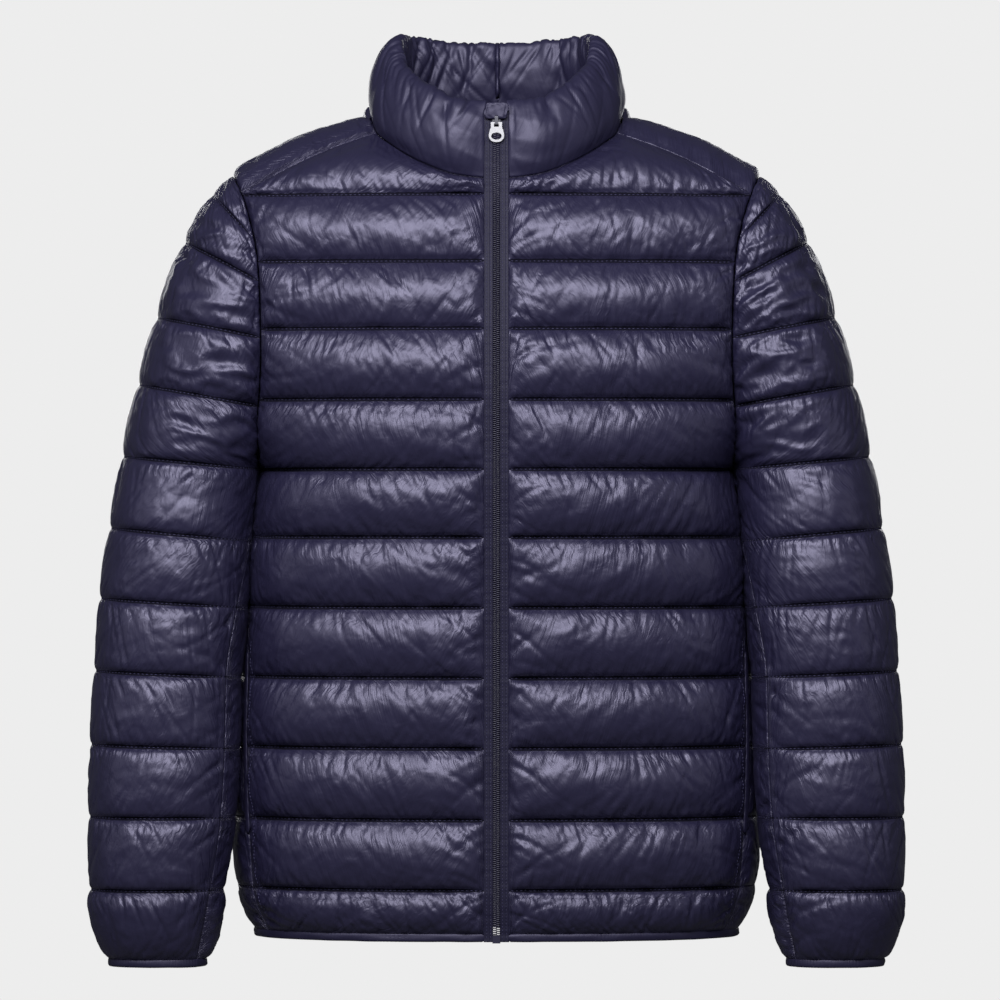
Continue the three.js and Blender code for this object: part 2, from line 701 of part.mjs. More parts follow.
function hemBinding() {
  const z = HEM_Z - SEAM_GAP - BINDING_HEIGHT / 2;
  const start = Math.asin(ZIP_HALF_OPENING / frontDepth(HEM_Z));
  const ring = spread((t) => ovalPoint(HEM_Z, mix(start, 2 * Math.PI - start, t)), 56);
  const frames = ring.map((point, i) => {
    const before = ring[Math.max(0, i - 1)];
    const after = ring[Math.min(ring.length - 1, i + 1)];
    const along = after.clone().sub(before);
    const out = vec(along.y, -along.x, 0).normalize();
    const at = vec(point.x, point.y, z).addScaledVector(out, -1.5);
    return { at, out, up: vec(0, 0, 1) };
  });
  return sweep("hem_binding", frames, BINDING_PROFILE, COLOURS.binding);
}

function cuffBinding(name, side) {
  const base = sleeveBase();
  const ring = base[base.length - 1].slice(0, -1);
  const z = ring[0].z - SEAM_GAP - BINDING_HEIGHT / 2;
  const middle = vec((ring[0].x + ring[10].x) / 2, SLEEVE[12].y, 0);
  const frames = ring.map((point, i) => {
    const before = ring[(i + ring.length - 1) % ring.length];
    const after = ring[(i + 1) % ring.length];
    const along = after.clone().sub(before);
    const out = vec(along.y, -along.x, 0).normalize();
    if (out.dot(vec(point.x, point.y, 0).sub(middle)) < 0) out.negate();
    const at = vec(point.x, point.y, z).addScaledVector(out, -1.5);
    const frame = { at, out, up: vec(0, 0, 1) };
    if (side < 0) {
      frame.at = mirrored(at);
      frame.out = mirrored(out);
    }
    return frame;
  });
  return sweep(name, frames, BINDING_PROFILE, COLOURS.binding, true);
}

// The zip's line on the front, from the hem edge up to the top of the collar
const ZIP_TOP = neckZ(0) + COLLAR_HEIGHT - 6;

function zipPoint(z) {
  const foot = neckZ(0);
  if (z >= foot) return vec(0, neckY(0) - 0.5 + ((z - foot) / COLLAR_HEIGHT) * 6, z);
  if (z <= FIRST_LINE) return vec(0, -frontDepth(z), z);
  const t = (z - FIRST_LINE) / (foot - FIRST_LINE);
  return vec(0, mix(-frontDepth(FIRST_LINE), neckY(0) - 0.5, t), z);
}

function zipFrames(from, to, count) {
  return range(count + 1).map((i) => {
    const z = mix(from, to, i / count);
    const along = zipPoint(z + 3).sub(zipPoint(z - 3)).normalize();
    const out = vec(0, -along.z, along.y).normalize();
    return { at: zipPoint(z), out, up: vec(1, 0, 0) };
  });
}

const box = (out, out2, across, across2) => (
  [[out, across], [out, across2], [out2, across2], [out2, across]]
);

function zipTape(name, side) {
  const from = side * (CHAIN_HALF_WIDTH + SEAM_GAP);
  const to = side * (ZIP_HALF_OPENING - SEAM_GAP);
  const frames = zipFrames(HEM_Z - BINDING_HEIGHT, ZIP_TOP, 48);
  return sweep(name, frames, box(0.6, -1.4, from, to), COLOURS.tape);
}

// Slider, bail and pull, in the slider's own frame: height along the zip from the pull's
// axis, and distance out of the zip's line
const PULL_AXIS = { z: -7.9, out: 3.5 };
const SLIDER = { top: 6.9, bottom: -2.1, front: 2.2, back: -1.6 };
const BAIL = { top: 6.2, bottom: -2.3, front: 5.5, thickness: 0.9, half: 1.4 };
const PULL = {
  thickness: 1,
  earHalf: 4.7,
  top: 0.7,
  slotHalf: 2.1,
  slotTop: -0.7,
  slotBottom: -3.3,
  neck: -4.1,
  ringHalf: 6.4,
  ringZ: -11.2,
  ringHeight: 5.2,
  holeHalf: 4.5,
  holeHeight: 3.1,
};
const GUARD_FOOT = PULL_AXIS.z + SLIDER.top + 0.4;

function zipChain() {
  const foot = HEM_Z - BINDING_HEIGHT + 7;
  const frames = zipFrames(foot, PULL_AXIS.z + SLIDER.bottom - SEAM_GAP, 48);
  const wide = CHAIN_HALF_WIDTH;
  const profile = [
    [1.2, -wide * 0.7], [1.2, wide * 0.7], [0.2, wide], [-1.2, wide], [-1.2, -wide], [0.2, -wide],
  ];
  return sweep("zip_chain", frames, profile, COLOURS.coil);
}

// Box that joins the two ends of the zip at the hem
function zipBox() {
  const frames = zipFrames(HEM_Z - BINDING_HEIGHT, HEM_Z - BINDING_HEIGHT + 6.7, 2);
  const wide = CHAIN_HALF_WIDTH;
  return sweep("zip_box", frames, box(1.8, -1.6, -wide, wide), COLOURS.coil);
}

// Cloth tab over the zip's top end
function zipGuard() {
  const frames = zipFrames(GUARD_FOOT, ZIP_TOP + 1.5, 4);
  const wide = ZIP_HALF_OPENING - SEAM_GAP;
  return sweep("zip_guard", frames, box(2.3, 1.6, -wide, wide), COLOURS.cloth);
}

function slider() {
  const shape = new THREE.Shape();
  const half = CHAIN_HALF_WIDTH;
  shape.moveTo(-half * 0.8, SLIDER.bottom);
  shape.lineTo(half * 0.8, SLIDER.bottom);
  shape.lineTo(half, SLIDER.bottom + 1.6);
  shape.lineTo(half, SLIDER.top - 1.4);
  shape.lineTo(half * 0.7, SLIDER.top);
  shape.lineTo(-half * 0.7, SLIDER.top);
  shape.lineTo(-half, SLIDER.top - 1.4);
  shape.lineTo(-half, SLIDER.bottom + 1.6);
  shape.closePath();
  return plate("zip_slider", shape, SLIDER.back, SLIDER.front, 0x77777b);
}

// Plate cut to a shape seen from the front, between two distances out of the zip's line
function plate(name, shape, from, to, colour) {
  const geometry = new THREE.ExtrudeGeometry(shape, {
    depth: to - from, bevelEnabled: false, curveSegments: 10,
  });
  geometry.rotateX(Math.PI / 2);
  geometry.translate(0, -from, 0);
  return metal(name, geometry, colour);
}

function metal(name, geometry, colour) {
  const material = new THREE.MeshStandardMaterial({ color: colour, roughness: 0.3, metalness: 1 });
  const mesh = new THREE.Mesh(geometry, material);
  mesh.name = name;
  return mesh;
}

// Bow over the slider that the pull hangs in, from its outline seen from the side
function bail() {
  const foot = SLIDER.front + SEAM_GAP;
  const { top, bottom, front: face, thickness, half } = BAIL;
  const shape = new THREE.Shape();
  shape.moveTo(foot, bottom);
  shape.lineTo(face - 1.2, bottom);
  shape.quadraticCurveTo(face, bottom, face, bottom + 1.2);
  shape.lineTo(face, top - 1.6);
  shape.quadraticCurveTo(face, top, face - 1.6, top);
  shape.lineTo(foot, top);
  shape.lineTo(foot, top - thickness);
  shape.lineTo(face - 1.7, top - thickness);
  shape.lineTo(face - thickness, top - 1.7);
  shape.lineTo(face - thickness, bottom + 1.3);
  shape.lineTo(face - 1.3, bottom + thickness);
  shape.lineTo(foot, bottom + thickness);
  shape.closePath();
  const geometry = new THREE.ExtrudeGeometry(shape, {
    depth: 2 * half, bevelEnabled: false, curveSegments: 3,
  });
  geometry.rotateX(Math.PI / 2);
  geometry.rotateZ(-Math.PI / 2);
  geometry.translate(half, 0, 0);
  return metal("zip_bail", geometry, 0x8a8a8e);
}

// Pull: two ears beside the bail, a bar that passes through it, and a ring
function pull() {
  const outline = new THREE.Shape();
  outline.moveTo(-PULL.earHalf, PULL.top);
  outline.lineTo(-PULL.earHalf, PULL.neck);
  outline.quadraticCurveTo(-PULL.ringHalf, PULL.ringZ + 3.4, -PULL.ringHalf, PULL.ringZ);
  outline.absellipse(
    0, PULL.ringZ, PULL.ringHalf, PULL.ringHeight, Math.PI, 2 * Math.PI, false, 0,
  );
  outline.quadraticCurveTo(PULL.ringHalf, PULL.ringZ + 3.4, PULL.earHalf, PULL.neck);
  outline.lineTo(PULL.earHalf, PULL.top);
  outline.closePath();
  const slot = new THREE.Path();
  slot.moveTo(-PULL.slotHalf, PULL.slotTop);
  slot.lineTo(-PULL.slotHalf, PULL.slotBottom);
  slot.lineTo(PULL.slotHalf, PULL.slotBottom);
  slot.lineTo(PULL.slotHalf, PULL.slotTop);
  slot.closePath();
  const hole = new THREE.Path();
  hole.absellipse(0, PULL.ringZ, PULL.holeHalf, PULL.holeHeight, 0, 2 * Math.PI, true, 0);
  outline.holes.push(slot, hole);
  const half = PULL.thickness / 2;
  return plate("zip_pull", outline, PULL_AXIS.out - half, PULL_AXIS.out + half, 0xd6d6da);
}

// The slider's group lies along the zip's slope at the height of the pull's axis.
function sliderGroup() {
  const group = new THREE.Group();
  const [frame] = zipFrames(PULL_AXIS.z, PULL_AXIS.z, 1);
  group.position.copy(frame.at);
  group.rotation.x = Math.atan2(-frame.out.z, -frame.out.y);
  group.add(slider(), bail(), pull());
  return group;
}

// Welt of a pocket, over the side seam, from the front panel's edge moved out
function pocketWelt(name, side) {
  const steps = 12;
  const frames = range(steps + 1).map((i) => {
    const z = mix(POCKET.top, POCKET.bottom, i / steps);
    const point = ovalPoint(z, edgeAngle(z, 0));
    const out = seamNormal(point);
    const across = vec(-out.y, out.x, 0);
    const frame = { at: point, out, up: across };
    if (side < 0) {
      frame.at = mirrored(point);
      frame.out = mirrored(out);
      frame.up = mirrored(across);
    }
    return frame;
  });
  const half = POCKET.width / 2;
  const foot = 1.3;
  return sweep(name, frames, box(foot + POCKET.thickness, foot, -half, half), COLOURS.binding);
}

const jacket = new THREE.Group();
jacket.add(
  front("front_left", 1),
  front("front_right", -1),
  back(),
  sleeve("sleeve_left", 1),
  sleeve("sleeve_right", -1),
  collar(),
  hemBinding(),
  cuffBinding("cuff_binding_left", 1),
  cuffBinding("cuff_binding_right", -1),
  zipTape("zip_tape_left", 1),
  zipTape("zip_tape_right", -1),
  zipChain(),
  zipBox(),
  zipGuard(),
  sliderGroup(),
  pocketWelt("pocket_welt_left", 1),
  pocketWelt("pocket_welt_right", -1),
);

export default jacket;
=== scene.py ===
import json
import math

import bpy
import numpy as np
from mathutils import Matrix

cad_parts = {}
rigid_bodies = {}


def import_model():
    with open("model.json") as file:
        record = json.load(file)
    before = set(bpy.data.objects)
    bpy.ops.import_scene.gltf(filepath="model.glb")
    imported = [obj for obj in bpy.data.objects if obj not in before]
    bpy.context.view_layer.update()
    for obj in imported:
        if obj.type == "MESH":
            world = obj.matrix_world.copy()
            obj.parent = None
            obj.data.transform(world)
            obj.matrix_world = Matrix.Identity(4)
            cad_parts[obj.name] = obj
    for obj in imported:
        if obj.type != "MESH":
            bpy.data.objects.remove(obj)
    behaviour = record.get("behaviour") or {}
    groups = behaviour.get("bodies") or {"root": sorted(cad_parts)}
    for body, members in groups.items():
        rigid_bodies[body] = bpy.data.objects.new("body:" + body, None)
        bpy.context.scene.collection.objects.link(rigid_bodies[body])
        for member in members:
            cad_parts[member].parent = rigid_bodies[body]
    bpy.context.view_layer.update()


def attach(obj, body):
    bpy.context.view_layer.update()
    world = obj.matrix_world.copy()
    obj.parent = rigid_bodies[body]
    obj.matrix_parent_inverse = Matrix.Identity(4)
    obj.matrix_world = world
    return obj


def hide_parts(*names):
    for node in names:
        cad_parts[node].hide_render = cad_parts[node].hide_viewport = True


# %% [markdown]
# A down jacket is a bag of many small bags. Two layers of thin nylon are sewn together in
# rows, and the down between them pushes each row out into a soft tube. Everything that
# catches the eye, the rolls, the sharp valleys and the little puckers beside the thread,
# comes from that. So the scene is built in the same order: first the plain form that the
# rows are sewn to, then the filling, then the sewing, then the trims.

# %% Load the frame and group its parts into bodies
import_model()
MM = 0.001

# %% [markdown]
# The plain form follows a few sections, one at each quilt line. A smooth curve through each
# column of a table gives every height between them. This is the way a pattern cutter works
# too: measure at a few levels and draw a fair curve through the marks.

# %% Smooth curves through the columns of a table


def fair_curve(rows, key, by="z"):
    """Cubic curve through one column: slopes are harmonic means, so it never overshoots."""
    xs = np.array([row[by] for row in rows], float)
    ys = np.array([row[key] for row in rows], float)
    if xs[0] > xs[-1]:
        xs, ys = xs[::-1], ys[::-1]
    steps = np.diff(ys) / np.diff(xs)
    slopes = np.empty_like(ys)
    slopes[0], slopes[-1] = steps[0], steps[-1]
    before, after = steps[:-1], steps[1:]
    same_way = before * after > 0
    total = np.where(same_way, before + after, 1)
    slopes[1:-1] = np.where(same_way, 2 * before * after / total, 0)

    def value(x):
        x = np.clip(x, xs[0], xs[-1])
        i = np.clip(np.searchsorted(xs, x, side="right") - 1, 0, len(xs) - 2)
        span = xs[i + 1] - xs[i]
        t = (x - xs[i]) / span
        return (
            (2 * t**3 - 3 * t**2 + 1) * ys[i]
            + (t**3 - 2 * t**2 + t) * span * slopes[i]
            + (3 * t**2 - 2 * t**3) * ys[i + 1]
            + (t**3 - t**2) * span * slopes[i + 1]
        )

    return value


# %% Sections of the body, in millimetres, one row for each quilt line
BODY = [
    {"z": -67, "front": 87, "back": 85, "half": 214, "side": 1},
    {"z": -124, "front": 106, "back": 105, "half": 201, "side": 1},
    {"z": -181, "front": 120, "back": 113, "half": 198, "side": 1},
    {"z": -240.5, "front": 127, "back": 114, "half": 201, "side": 1},
    {"z": -299, "front": 127, "back": 110, "half": 202, "side": 0},
    {"z": -356, "front": 123, "back": 105, "half": 211, "side": 0},
    {"z": -415, "front": 120, "back": 102, "half": 214, "side": 0.1},
    {"z": -474, "front": 118, "back": 101, "half": 218, "side": 0.15},
    {"z": -533, "front": 117, "back": 102, "half": 221.5, "side": 0.15},
    {"z": -593, "front": 116, "back": 104, "half": 222.5, "side": 0.15},
    {"z": -652, "front": 115, "back": 105, "half": 220, "side": 0.15},
    {"z": -688.5, "front": 110, "back": 101, "half": 206, "side": 0.3},
]
ARMHOLE_TOP, ARMHOLE_BOTTOM = -47, -299
ARMHOLE_FRONT, ARMHOLE_BACK, ARMHOLE_POWER = 80, 76, 0.9
ARMHOLE_WIDTH = [
    {"z": -47, "half": 224},
    {"z": -69, "half": 214},
    {"z": -100, "half": 205},
    {"z": -122, "half": 201},
    {"z": -165, "half": 198.5},
    {"z": -207, "half": 198},
    {"z": -255, "half": 201},
    {"z": -299, "half": 202},
]
SIDE_SEAM = [
    {"z": -299, "y": 0},
    {"z": -356, "y": -18},
    {"z": -448, "y": -38},
    {"z": -533, "y": -45},
    {"z": -652, "y": -51},
    {"z": -688.5, "y": -48},
]
NECK = [
    {"angle": 0, "half": 0, "y": -85, "z": -55.5, "height": 66},
    {"angle": 18, "half": 33.5, "y": -82, "z": -51.5, "height": 66},
    {"angle": 37, "half": 64, "y": -69, "z": -40, "height": 66},
    {"angle": 57, "half": 89, "y": -47, "z": -24.5, "height": 66.5},
    {"angle": 73, "half": 102, "y": -26, "z": -13, "height": 68},
    {"angle": 90, "half": 105.5, "y": 0, "z": 2, "height": 69},
    {"angle": 115, "half": 95, "y": 35, "z": 3, "height": 71},
    {"angle": 145, "half": 57, "y": 65, "z": -2, "height": 74},
    {"angle": 180, "half": 0, "y": 73, "z": -5, "height": 73},
]
SHOULDER_ANGLE = 73
ROUNDNESS = 2.35
ZIP_HALF_OPENING = 9.5
WALL = 3
BODY_PUFF = 12.5
SLEEVE_PUFF = 9
LINES = np.array([row["z"] for row in BODY], float)
FIRST_LINE, HEM_Z = LINES[0], LINES[-1]
front_depth = fair_curve(BODY, "front")
back_depth = fair_curve(BODY, "back")
body_half = fair_curve(BODY, "half")
side_fullness = fair_curve(BODY, "side")
armhole_half = fair_curve(ARMHOLE_WIDTH, "half")
seam_y = fair_curve(SIDE_SEAM, "y")
neck_half = fair_curve(NECK, "half", "angle")
neck_y = fair_curve(NECK, "y", "angle")
neck_z = fair_curve(NECK, "z", "angle")
neck_height = fair_curve(NECK, "height", "angle")
print("quilt lines on the body:", len(LINES) - 1)

# %% The oval of the body and the armhole that cuts it


def armhole_point(z, facing):
    """Oval seen from the side: depth is the sine of the height's angle to a power."""
    z, facing = np.broadcast_arrays(np.asarray(z, float), facing)
    middle = (ARMHOLE_TOP + ARMHOLE_BOTTOM) / 2
    reach = (ARMHOLE_TOP - ARMHOLE_BOTTOM) / 2
    cosine = np.clip((z - middle) / reach, -1, 1)
    depth = np.where(facing < 0, ARMHOLE_FRONT, ARMHOLE_BACK)
    y = facing * depth * np.sqrt(1 - cosine**2) ** ARMHOLE_POWER
    return np.stack([armhole_half(z), y, z], -1)


def oval_half(z, facing):
    """Half width of the whole oval that passes through the panel's edge at each height."""
    depth = np.where(facing < 0, front_depth(z), back_depth(z))
    edge = armhole_point(z, facing)
    part = 1 - (np.abs(edge[..., 1]) / depth) ** ROUNDNESS
    cut = edge[..., 0] / part ** (1 / ROUNDNESS)
    return np.where(z <= ARMHOLE_BOTTOM, body_half(z), cut)


def oval_point(z, angle):
    """Superellipse in polar form, round from the front, at each height and angle."""
    z, angle = np.broadcast_arrays(z, angle)
    facing = np.where(np.abs(angle) < np.pi / 2, -1, 1)
    depth = np.where(facing < 0, front_depth(z), back_depth(z))
    half = oval_half(z, facing)
    across = (np.abs(np.sin(angle)) / half) ** ROUNDNESS
    forward = (np.abs(np.cos(angle)) / depth) ** ROUNDNESS
    radius = (across + forward) ** (-1 / ROUNDNESS)
    return np.stack([radius * np.sin(angle), -radius * np.cos(angle), z], -1)


def edge_angle(z, facing):
    """Angle of the panel's edge: the side seam, or the armhole where there is one."""
    y = seam_y(z)
    depth = np.where(y < 0, front_depth(z), back_depth(z))
    x = body_half(z) * (1 - (np.abs(y) / depth) ** ROUNDNESS) ** (1 / ROUNDNESS)
    edge = armhole_point(z, facing)
    cut = np.arctan2(edge[..., 0], -edge[..., 1])
    return np.where(z <= ARMHOLE_BOTTOM, np.arctan2(x, -y), cut)


# %% Points at even distances along every row of a grid


def even_rows(points, count):
    """Length along each row is summed, then each even share of it is found between points."""
    steps = np.linalg.norm(np.diff(points, axis=1), axis=-1)
    along = np.concatenate([np.zeros((len(points), 1)), np.cumsum(steps, 1)], 1)
    wanted = np.linspace(0, 1, count + 1)[None, :] * along[:, -1:]
    index = (along[:, None, 1:-1] <= wanted[:, :, None]).sum(-1)
    rows = np.arange(len(points))[:, None]
    start, end = along[rows, index], along[rows, index + 1]
    share = ((wanted - start) / np.maximum(end - start, 1e-9))[..., None]
    return points[rows, index] * (1 - share) + points[rows, index + 1] * share


def mirror(points):
    """The same points on the other side of the jacket."""
    return points * np.array([-1, 1, 1])


def unit(vectors):
    """Each vector at length one."""
    return vectors / np.maximum(np.linalg.norm(vectors, axis=-1, keepdims=True), 1e-12)


def grid_normals(points, outward, ring=False):
    """Cross product of the two central differences at each point of a grid."""
    down = np.gradient(points, axis=0)
    across = np.gradient(points, axis=1)
    if ring:
        across[:, 0] = across[:, -1] = (points[:, 1] - points[:, -2]) / 2
    return unit(np.cross(down, across)) * outward


# %% [markdown]
# Each panel is a grid whose rows keep to the quilt lines. Above the first line the rows no
# longer go round the body but climb over the shoulder, so they follow cubic curves from that
# line to the neck seam and the forward shoulder seam.

# %% Heights of the rows and the panels' plain surfaces
ROWS_PER_BAND = 14
FRONT_COLUMNS = 64
BACK_COLUMNS = 128


def row_heights():
    """Even steps between each two quilt lines."""
    bands = [
        np.linspace(top, foot, ROWS_PER_BAND, endpoint=False)
        for top, foot in zip(LINES[:-1], LINES[1:])
    ]
    return np.concatenate(bands + [[HEM_Z]])


def neck_point(angle):
    """Neck seam at an angle from the front, in degrees."""
    return np.stack([neck_half(angle), neck_y(angle), neck_z(angle)], -1)


SHOULDER_END = armhole_point(np.array(-66.0), np.array(-1))
SHOULDER_TANGENT = unit(np.array([0.05, 0.62, 0.75]))


def shoulder_point(t):
    """Straight from the neck seam to the armhole, raised a little in between."""
    start = neck_point(np.array(float(SHOULDER_ANGLE)))
    points = start + (SHOULDER_END - start) * t[:, None]
    points[:, 2] += 5 * np.sin(np.pi * t)
    return points


def climb(bottom, upward, top, arriving):
    """Cubic curve from each point of the first line to the top edge, as rows."""
    reach = np.linalg.norm(top - bottom, axis=-1, keepdims=True) * 0.37
    t = (1 - np.arange(ROWS_PER_BAND) / ROWS_PER_BAND)[:, None, None]
    s = 1 - t
    return (
        bottom * s**3
        + (bottom + upward * reach) * 3 * s**2 * t
        + (top + arriving * reach) * 3 * s * t**2
        + top * t**3
    )


def front_surface():
    """Front panel on the wearer's left, rows from the top edge to the hem."""

    def rows_at(z):
        start = np.arcsin(ZIP_HALF_OPENING / front_depth(z))
        share = np.linspace(0, 1, 161)[None, :]
        end = edge_angle(z, np.array(-1))
        angle = start[:, None] * (1 - share) + end[:, None] * share
        return even_rows(oval_point(z[:, None], angle), FRONT_COLUMNS)

    neck_columns = FRONT_COLUMNS // 2
    share = np.arange(neck_columns + 1) / neck_columns
    top_edge = np.concatenate([
        neck_point(4.9 + (SHOULDER_ANGLE - 4.9) * share),
        shoulder_point(share[1:]),
    ])
    top_edge[0, 0] = ZIP_HALF_OPENING
    line, above = rows_at(np.array([FIRST_LINE, FIRST_LINE + 2.0]))
    downward = unit(np.array([0, -0.45, -0.9]))
    top = climb(line, unit(above - line), top_edge, downward)
    return np.concatenate([top, rows_at(row_heights())])


def over_armhole(t):
    """The armhole's top, from the forward seam (0) over the ridge to the back's line (1)."""
    middle = (ARMHOLE_TOP + ARMHOLE_BOTTOM) / 2
    reach = (ARMHOLE_TOP - ARMHOLE_BOTTOM) / 2
    start = -np.arccos((SHOULDER_END[2] - middle) / reach)
    end = np.arccos((FIRST_LINE - middle) / reach)
    angle = start + (end - start) * t
    facing = np.where(angle < 0, -1, 1)
    return armhole_point(middle + reach * np.cos(angle), facing)


def back_surface():
    """Back panel from the wearer's left to the right, coming forward over both shoulders."""
    half = BACK_COLUMNS // 2

    def rows_at(z):
        share = np.linspace(0, 1, 241)[None, :]
        end = edge_angle(z, np.array(1))
        angle = np.pi * (1 - share) + end[:, None] * share
        left = even_rows(oval_point(z[:, None], angle), half)
        return np.concatenate([left[:, :0:-1], mirror(left)], 1)

    neck_columns = half // 2
    share = np.arange(neck_columns + 1) / neck_columns
    edge = np.concatenate([
        neck_point(180 + (SHOULDER_ANGLE - 180) * share),
        shoulder_point(share[1:]),
    ])
    t = np.clip((np.arange(half + 1) / neck_columns - 0.5) / 0.5, 0, 1)
    t = (t * t * (3 - 2 * t))[:, None]
    handles = unit(np.array([0, 0.6, -0.8]) * (1 - t) + SHOULDER_TANGENT * t)
    top_edge = np.concatenate([edge[:0:-1], mirror(edge)])
    arriving = np.concatenate([handles[:0:-1], mirror(handles)])
    line, above = rows_at(np.array([FIRST_LINE, FIRST_LINE + 2.0]))
    top = climb(line, unit(above - line), top_edge, arriving)
    side = over_armhole(np.arange(ROWS_PER_BAND) / ROWS_PER_BAND)
    blend = np.clip(1 - np.arange(7) / 6, 0, 1)[None, :, None] ** 2
    top[:, :7] += (side - top[:, 0])[:, None] * blend
    top[:, -7:] += (mirror(side) - top[:, -1])[:, None] * blend[:, ::-1]
    return np.concatenate([top, rows_at(row_heights())])


front_plain = front_surface()
back_plain = back_surface()
print("front rows and columns:", front_plain.shape[:2], "back:", back_plain.shape[:2])

# %% Sleeve rings, one for each quilt line, then the cuff
SLEEVE = [
    {"i": 0, "out_x": 224.5, "out_z": -49, "in_z": -60, "depth": 30, "y": 0, "seam": 0},
    {"i": 1, "out_x": 241, "out_z": -65, "in_z": -104, "depth": 62, "y": 0, "seam": 0},
    {"i": 2, "out_x": 265, "out_z": -106, "in_z": -140, "depth": 79, "y": 0, "seam": 0},
    {"i": 3, "out_x": 288.5, "out_z": -170, "in_z": -188, "depth": 84, "y": -2, "seam": 0},
    {"i": 4, "out_x": 304, "out_z": -227, "in_z": -246, "depth": 82, "y": -5, "seam": 0},
    {"i": 5, "out_x": 317, "out_z": -288, "in_z": -299, "depth": 76, "y": -11, "seam": 0},
    {"i": 6, "out_x": 327, "out_z": -348.5, "in_z": -359.5, "depth": 69, "y": -25, "seam": 14},
    {"i": 7, "out_x": 335, "out_z": -408, "in_z": -415.5, "depth": 63, "y": -35, "seam": 30},
    {"i": 8, "out_x": 339, "out_z": -469, "in_z": -474, "depth": 59, "y": -42, "seam": 36},
    {"i": 9, "out_x": 342.5, "out_z": -531, "in_z": -534, "depth": 57, "y": -47, "seam": 36},
    {"i": 10, "out_x": 343.5, "out_z": -592, "in_z": -592, "depth": 55, "y": -51, "seam": 36},
    {"i": 11, "out_x": 342.5, "out_z": -653, "in_z": -653, "depth": 53, "y": -54, "seam": 36},
    {"i": 12, "out_x": 327.5, "out_z": -711.5, "in_z": -711.5, "depth": 34, "y": -56, "seam": 36},
]
INNER = [
    {"i": 5, "x": 200}, {"i": 6, "x": 207}, {"i": 7, "x": 211}, {"i": 8, "x": 216.5},
    {"i": 9, "x": 217.5}, {"i": 10, "x": 221}, {"i": 11, "x": 231}, {"i": 12, "x": 245},
]
ARMPIT_RING = 5
SLEEVE_COLUMNS = 104
SLEEVE_ROUNDNESS = 2.15
ARMHOLE_GAP = 0.7
sleeve_curves = {
    key: fair_curve(SLEEVE, key, "i") for key in ("out_x", "out_z", "in_z", "depth", "y", "seam")
}
inner_x = fair_curve(INNER, "x", "i")


def ring_point(outer, inner, middle_y, depth, angle):
    """Superellipse between the inner (angle 0) and the outer point (half a turn)."""
    radius = np.linalg.norm(outer - inner, axis=-1, keepdims=True) / 2
    power = 2 / SLEEVE_ROUNDNESS
    cosine, sine = np.cos(angle), np.sin(angle)
    along = (-np.sign(cosine) * np.abs(cosine) ** power)[..., None]
    over = -np.sign(sine) * np.abs(sine) ** power
    centre = (outer + inner) / 2
    points = centre[:, None] + unit(outer - inner)[:, None] * radius[:, None] * along
    points[..., 1] = middle_y[:, None] + over * depth[:, None]
    return points


def sleeve_surface():
    """Rings below the armpit and, above it, arcs from the armhole's front to its back."""
    rings = len(SLEEVE) - 1
    place = np.arange(rings * ROWS_PER_BAND + 1) / ROWS_PER_BAND
    row = {key: curve(place) for key, curve in sleeve_curves.items()}
    outer = np.stack([row["out_x"], row["y"], row["out_z"]], -1)
    half = SLEEVE_COLUMNS // 2
    share = np.linspace(0, 1, 161)[None, :]
    cut = place < ARMPIT_RING
    halves = []
    for facing in (-1, 1):
        start = armhole_point(row["in_z"], np.array(facing))
        away = np.stack([
            0 * place, start[:, 1],
            (start[:, 2] - (ARMHOLE_TOP + ARMHOLE_BOTTOM) / 2) * 0.75,
        ], -1)
        start = start - unit(away) * ARMHOLE_GAP + np.array([ARMHOLE_GAP, 0, 0])
        reach = np.abs(start[:, 1] - row["y"])
        depth = np.where(cut, np.maximum(row["depth"], reach * 1.02), row["depth"])
        power = 2 / SLEEVE_ROUNDNESS
        angle = np.where(cut, np.arcsin(np.minimum(1, reach / depth) ** (1 / power)), 0)
        flat = np.stack([start[:, 0], row["y"], start[:, 2]], -1)
        across = np.linalg.norm(outer - flat, axis=-1) / (1 + np.cos(angle) ** power)
        near = outer - unit(outer - flat) * 2 * across[:, None]
        ring = np.stack([inner_x(place), row["y"], row["in_z"]], -1)
        inner = np.where(cut[:, None], near, ring)
        seam = np.radians(row["seam"])
        first = np.where(cut, angle, seam if facing < 0 else -seam)
        turn = first[:, None] * (1 - share) + np.pi * share
        points = ring_point(outer, inner, row["y"], depth, turn * -facing)
        points[cut, 0] = start[cut]
        halves.append(even_rows(points, half))
    ahead, behind = halves
    behind[~cut, 0] = ahead[~cut, 0]
    return np.concatenate([ahead, behind[:, -2::-1]], 1)


sleeve_plain = sleeve_surface()
print("sleeve rows and columns:", sleeve_plain.shape[:2])

# %% [markdown]
# The down fills each tube until the cloth is tight across it. The tube is fullest midway
# between two rows of thread and is pinched flat where it meets another seam.

# %% How far the filling lifts the cloth
TAPER = 24


def arch(t):
    """Height of a filled tube across its width: a half circle's height to the power 0.9."""
    return np.sqrt(np.clip(1 - (2 * t - 1) ** 2, 0, 1)) ** 0.9


def rise(distance):
    """Quarter circle from zero at a seam to one at the taper's end."""
    return np.sqrt(1 - (1 - np.clip(distance / TAPER, 0, 1)) ** 2)


def length_along(points):
    """Distance from the first point along each row."""
    steps = np.linalg.norm(np.diff(points, axis=1), axis=-1)
    return np.concatenate([np.zeros((len(points), 1)), np.cumsum(steps, 1)], 1)


def length_down(points):
    """Distance from the first point down each column."""
    return length_along(points.transpose(1, 0, 2)).T


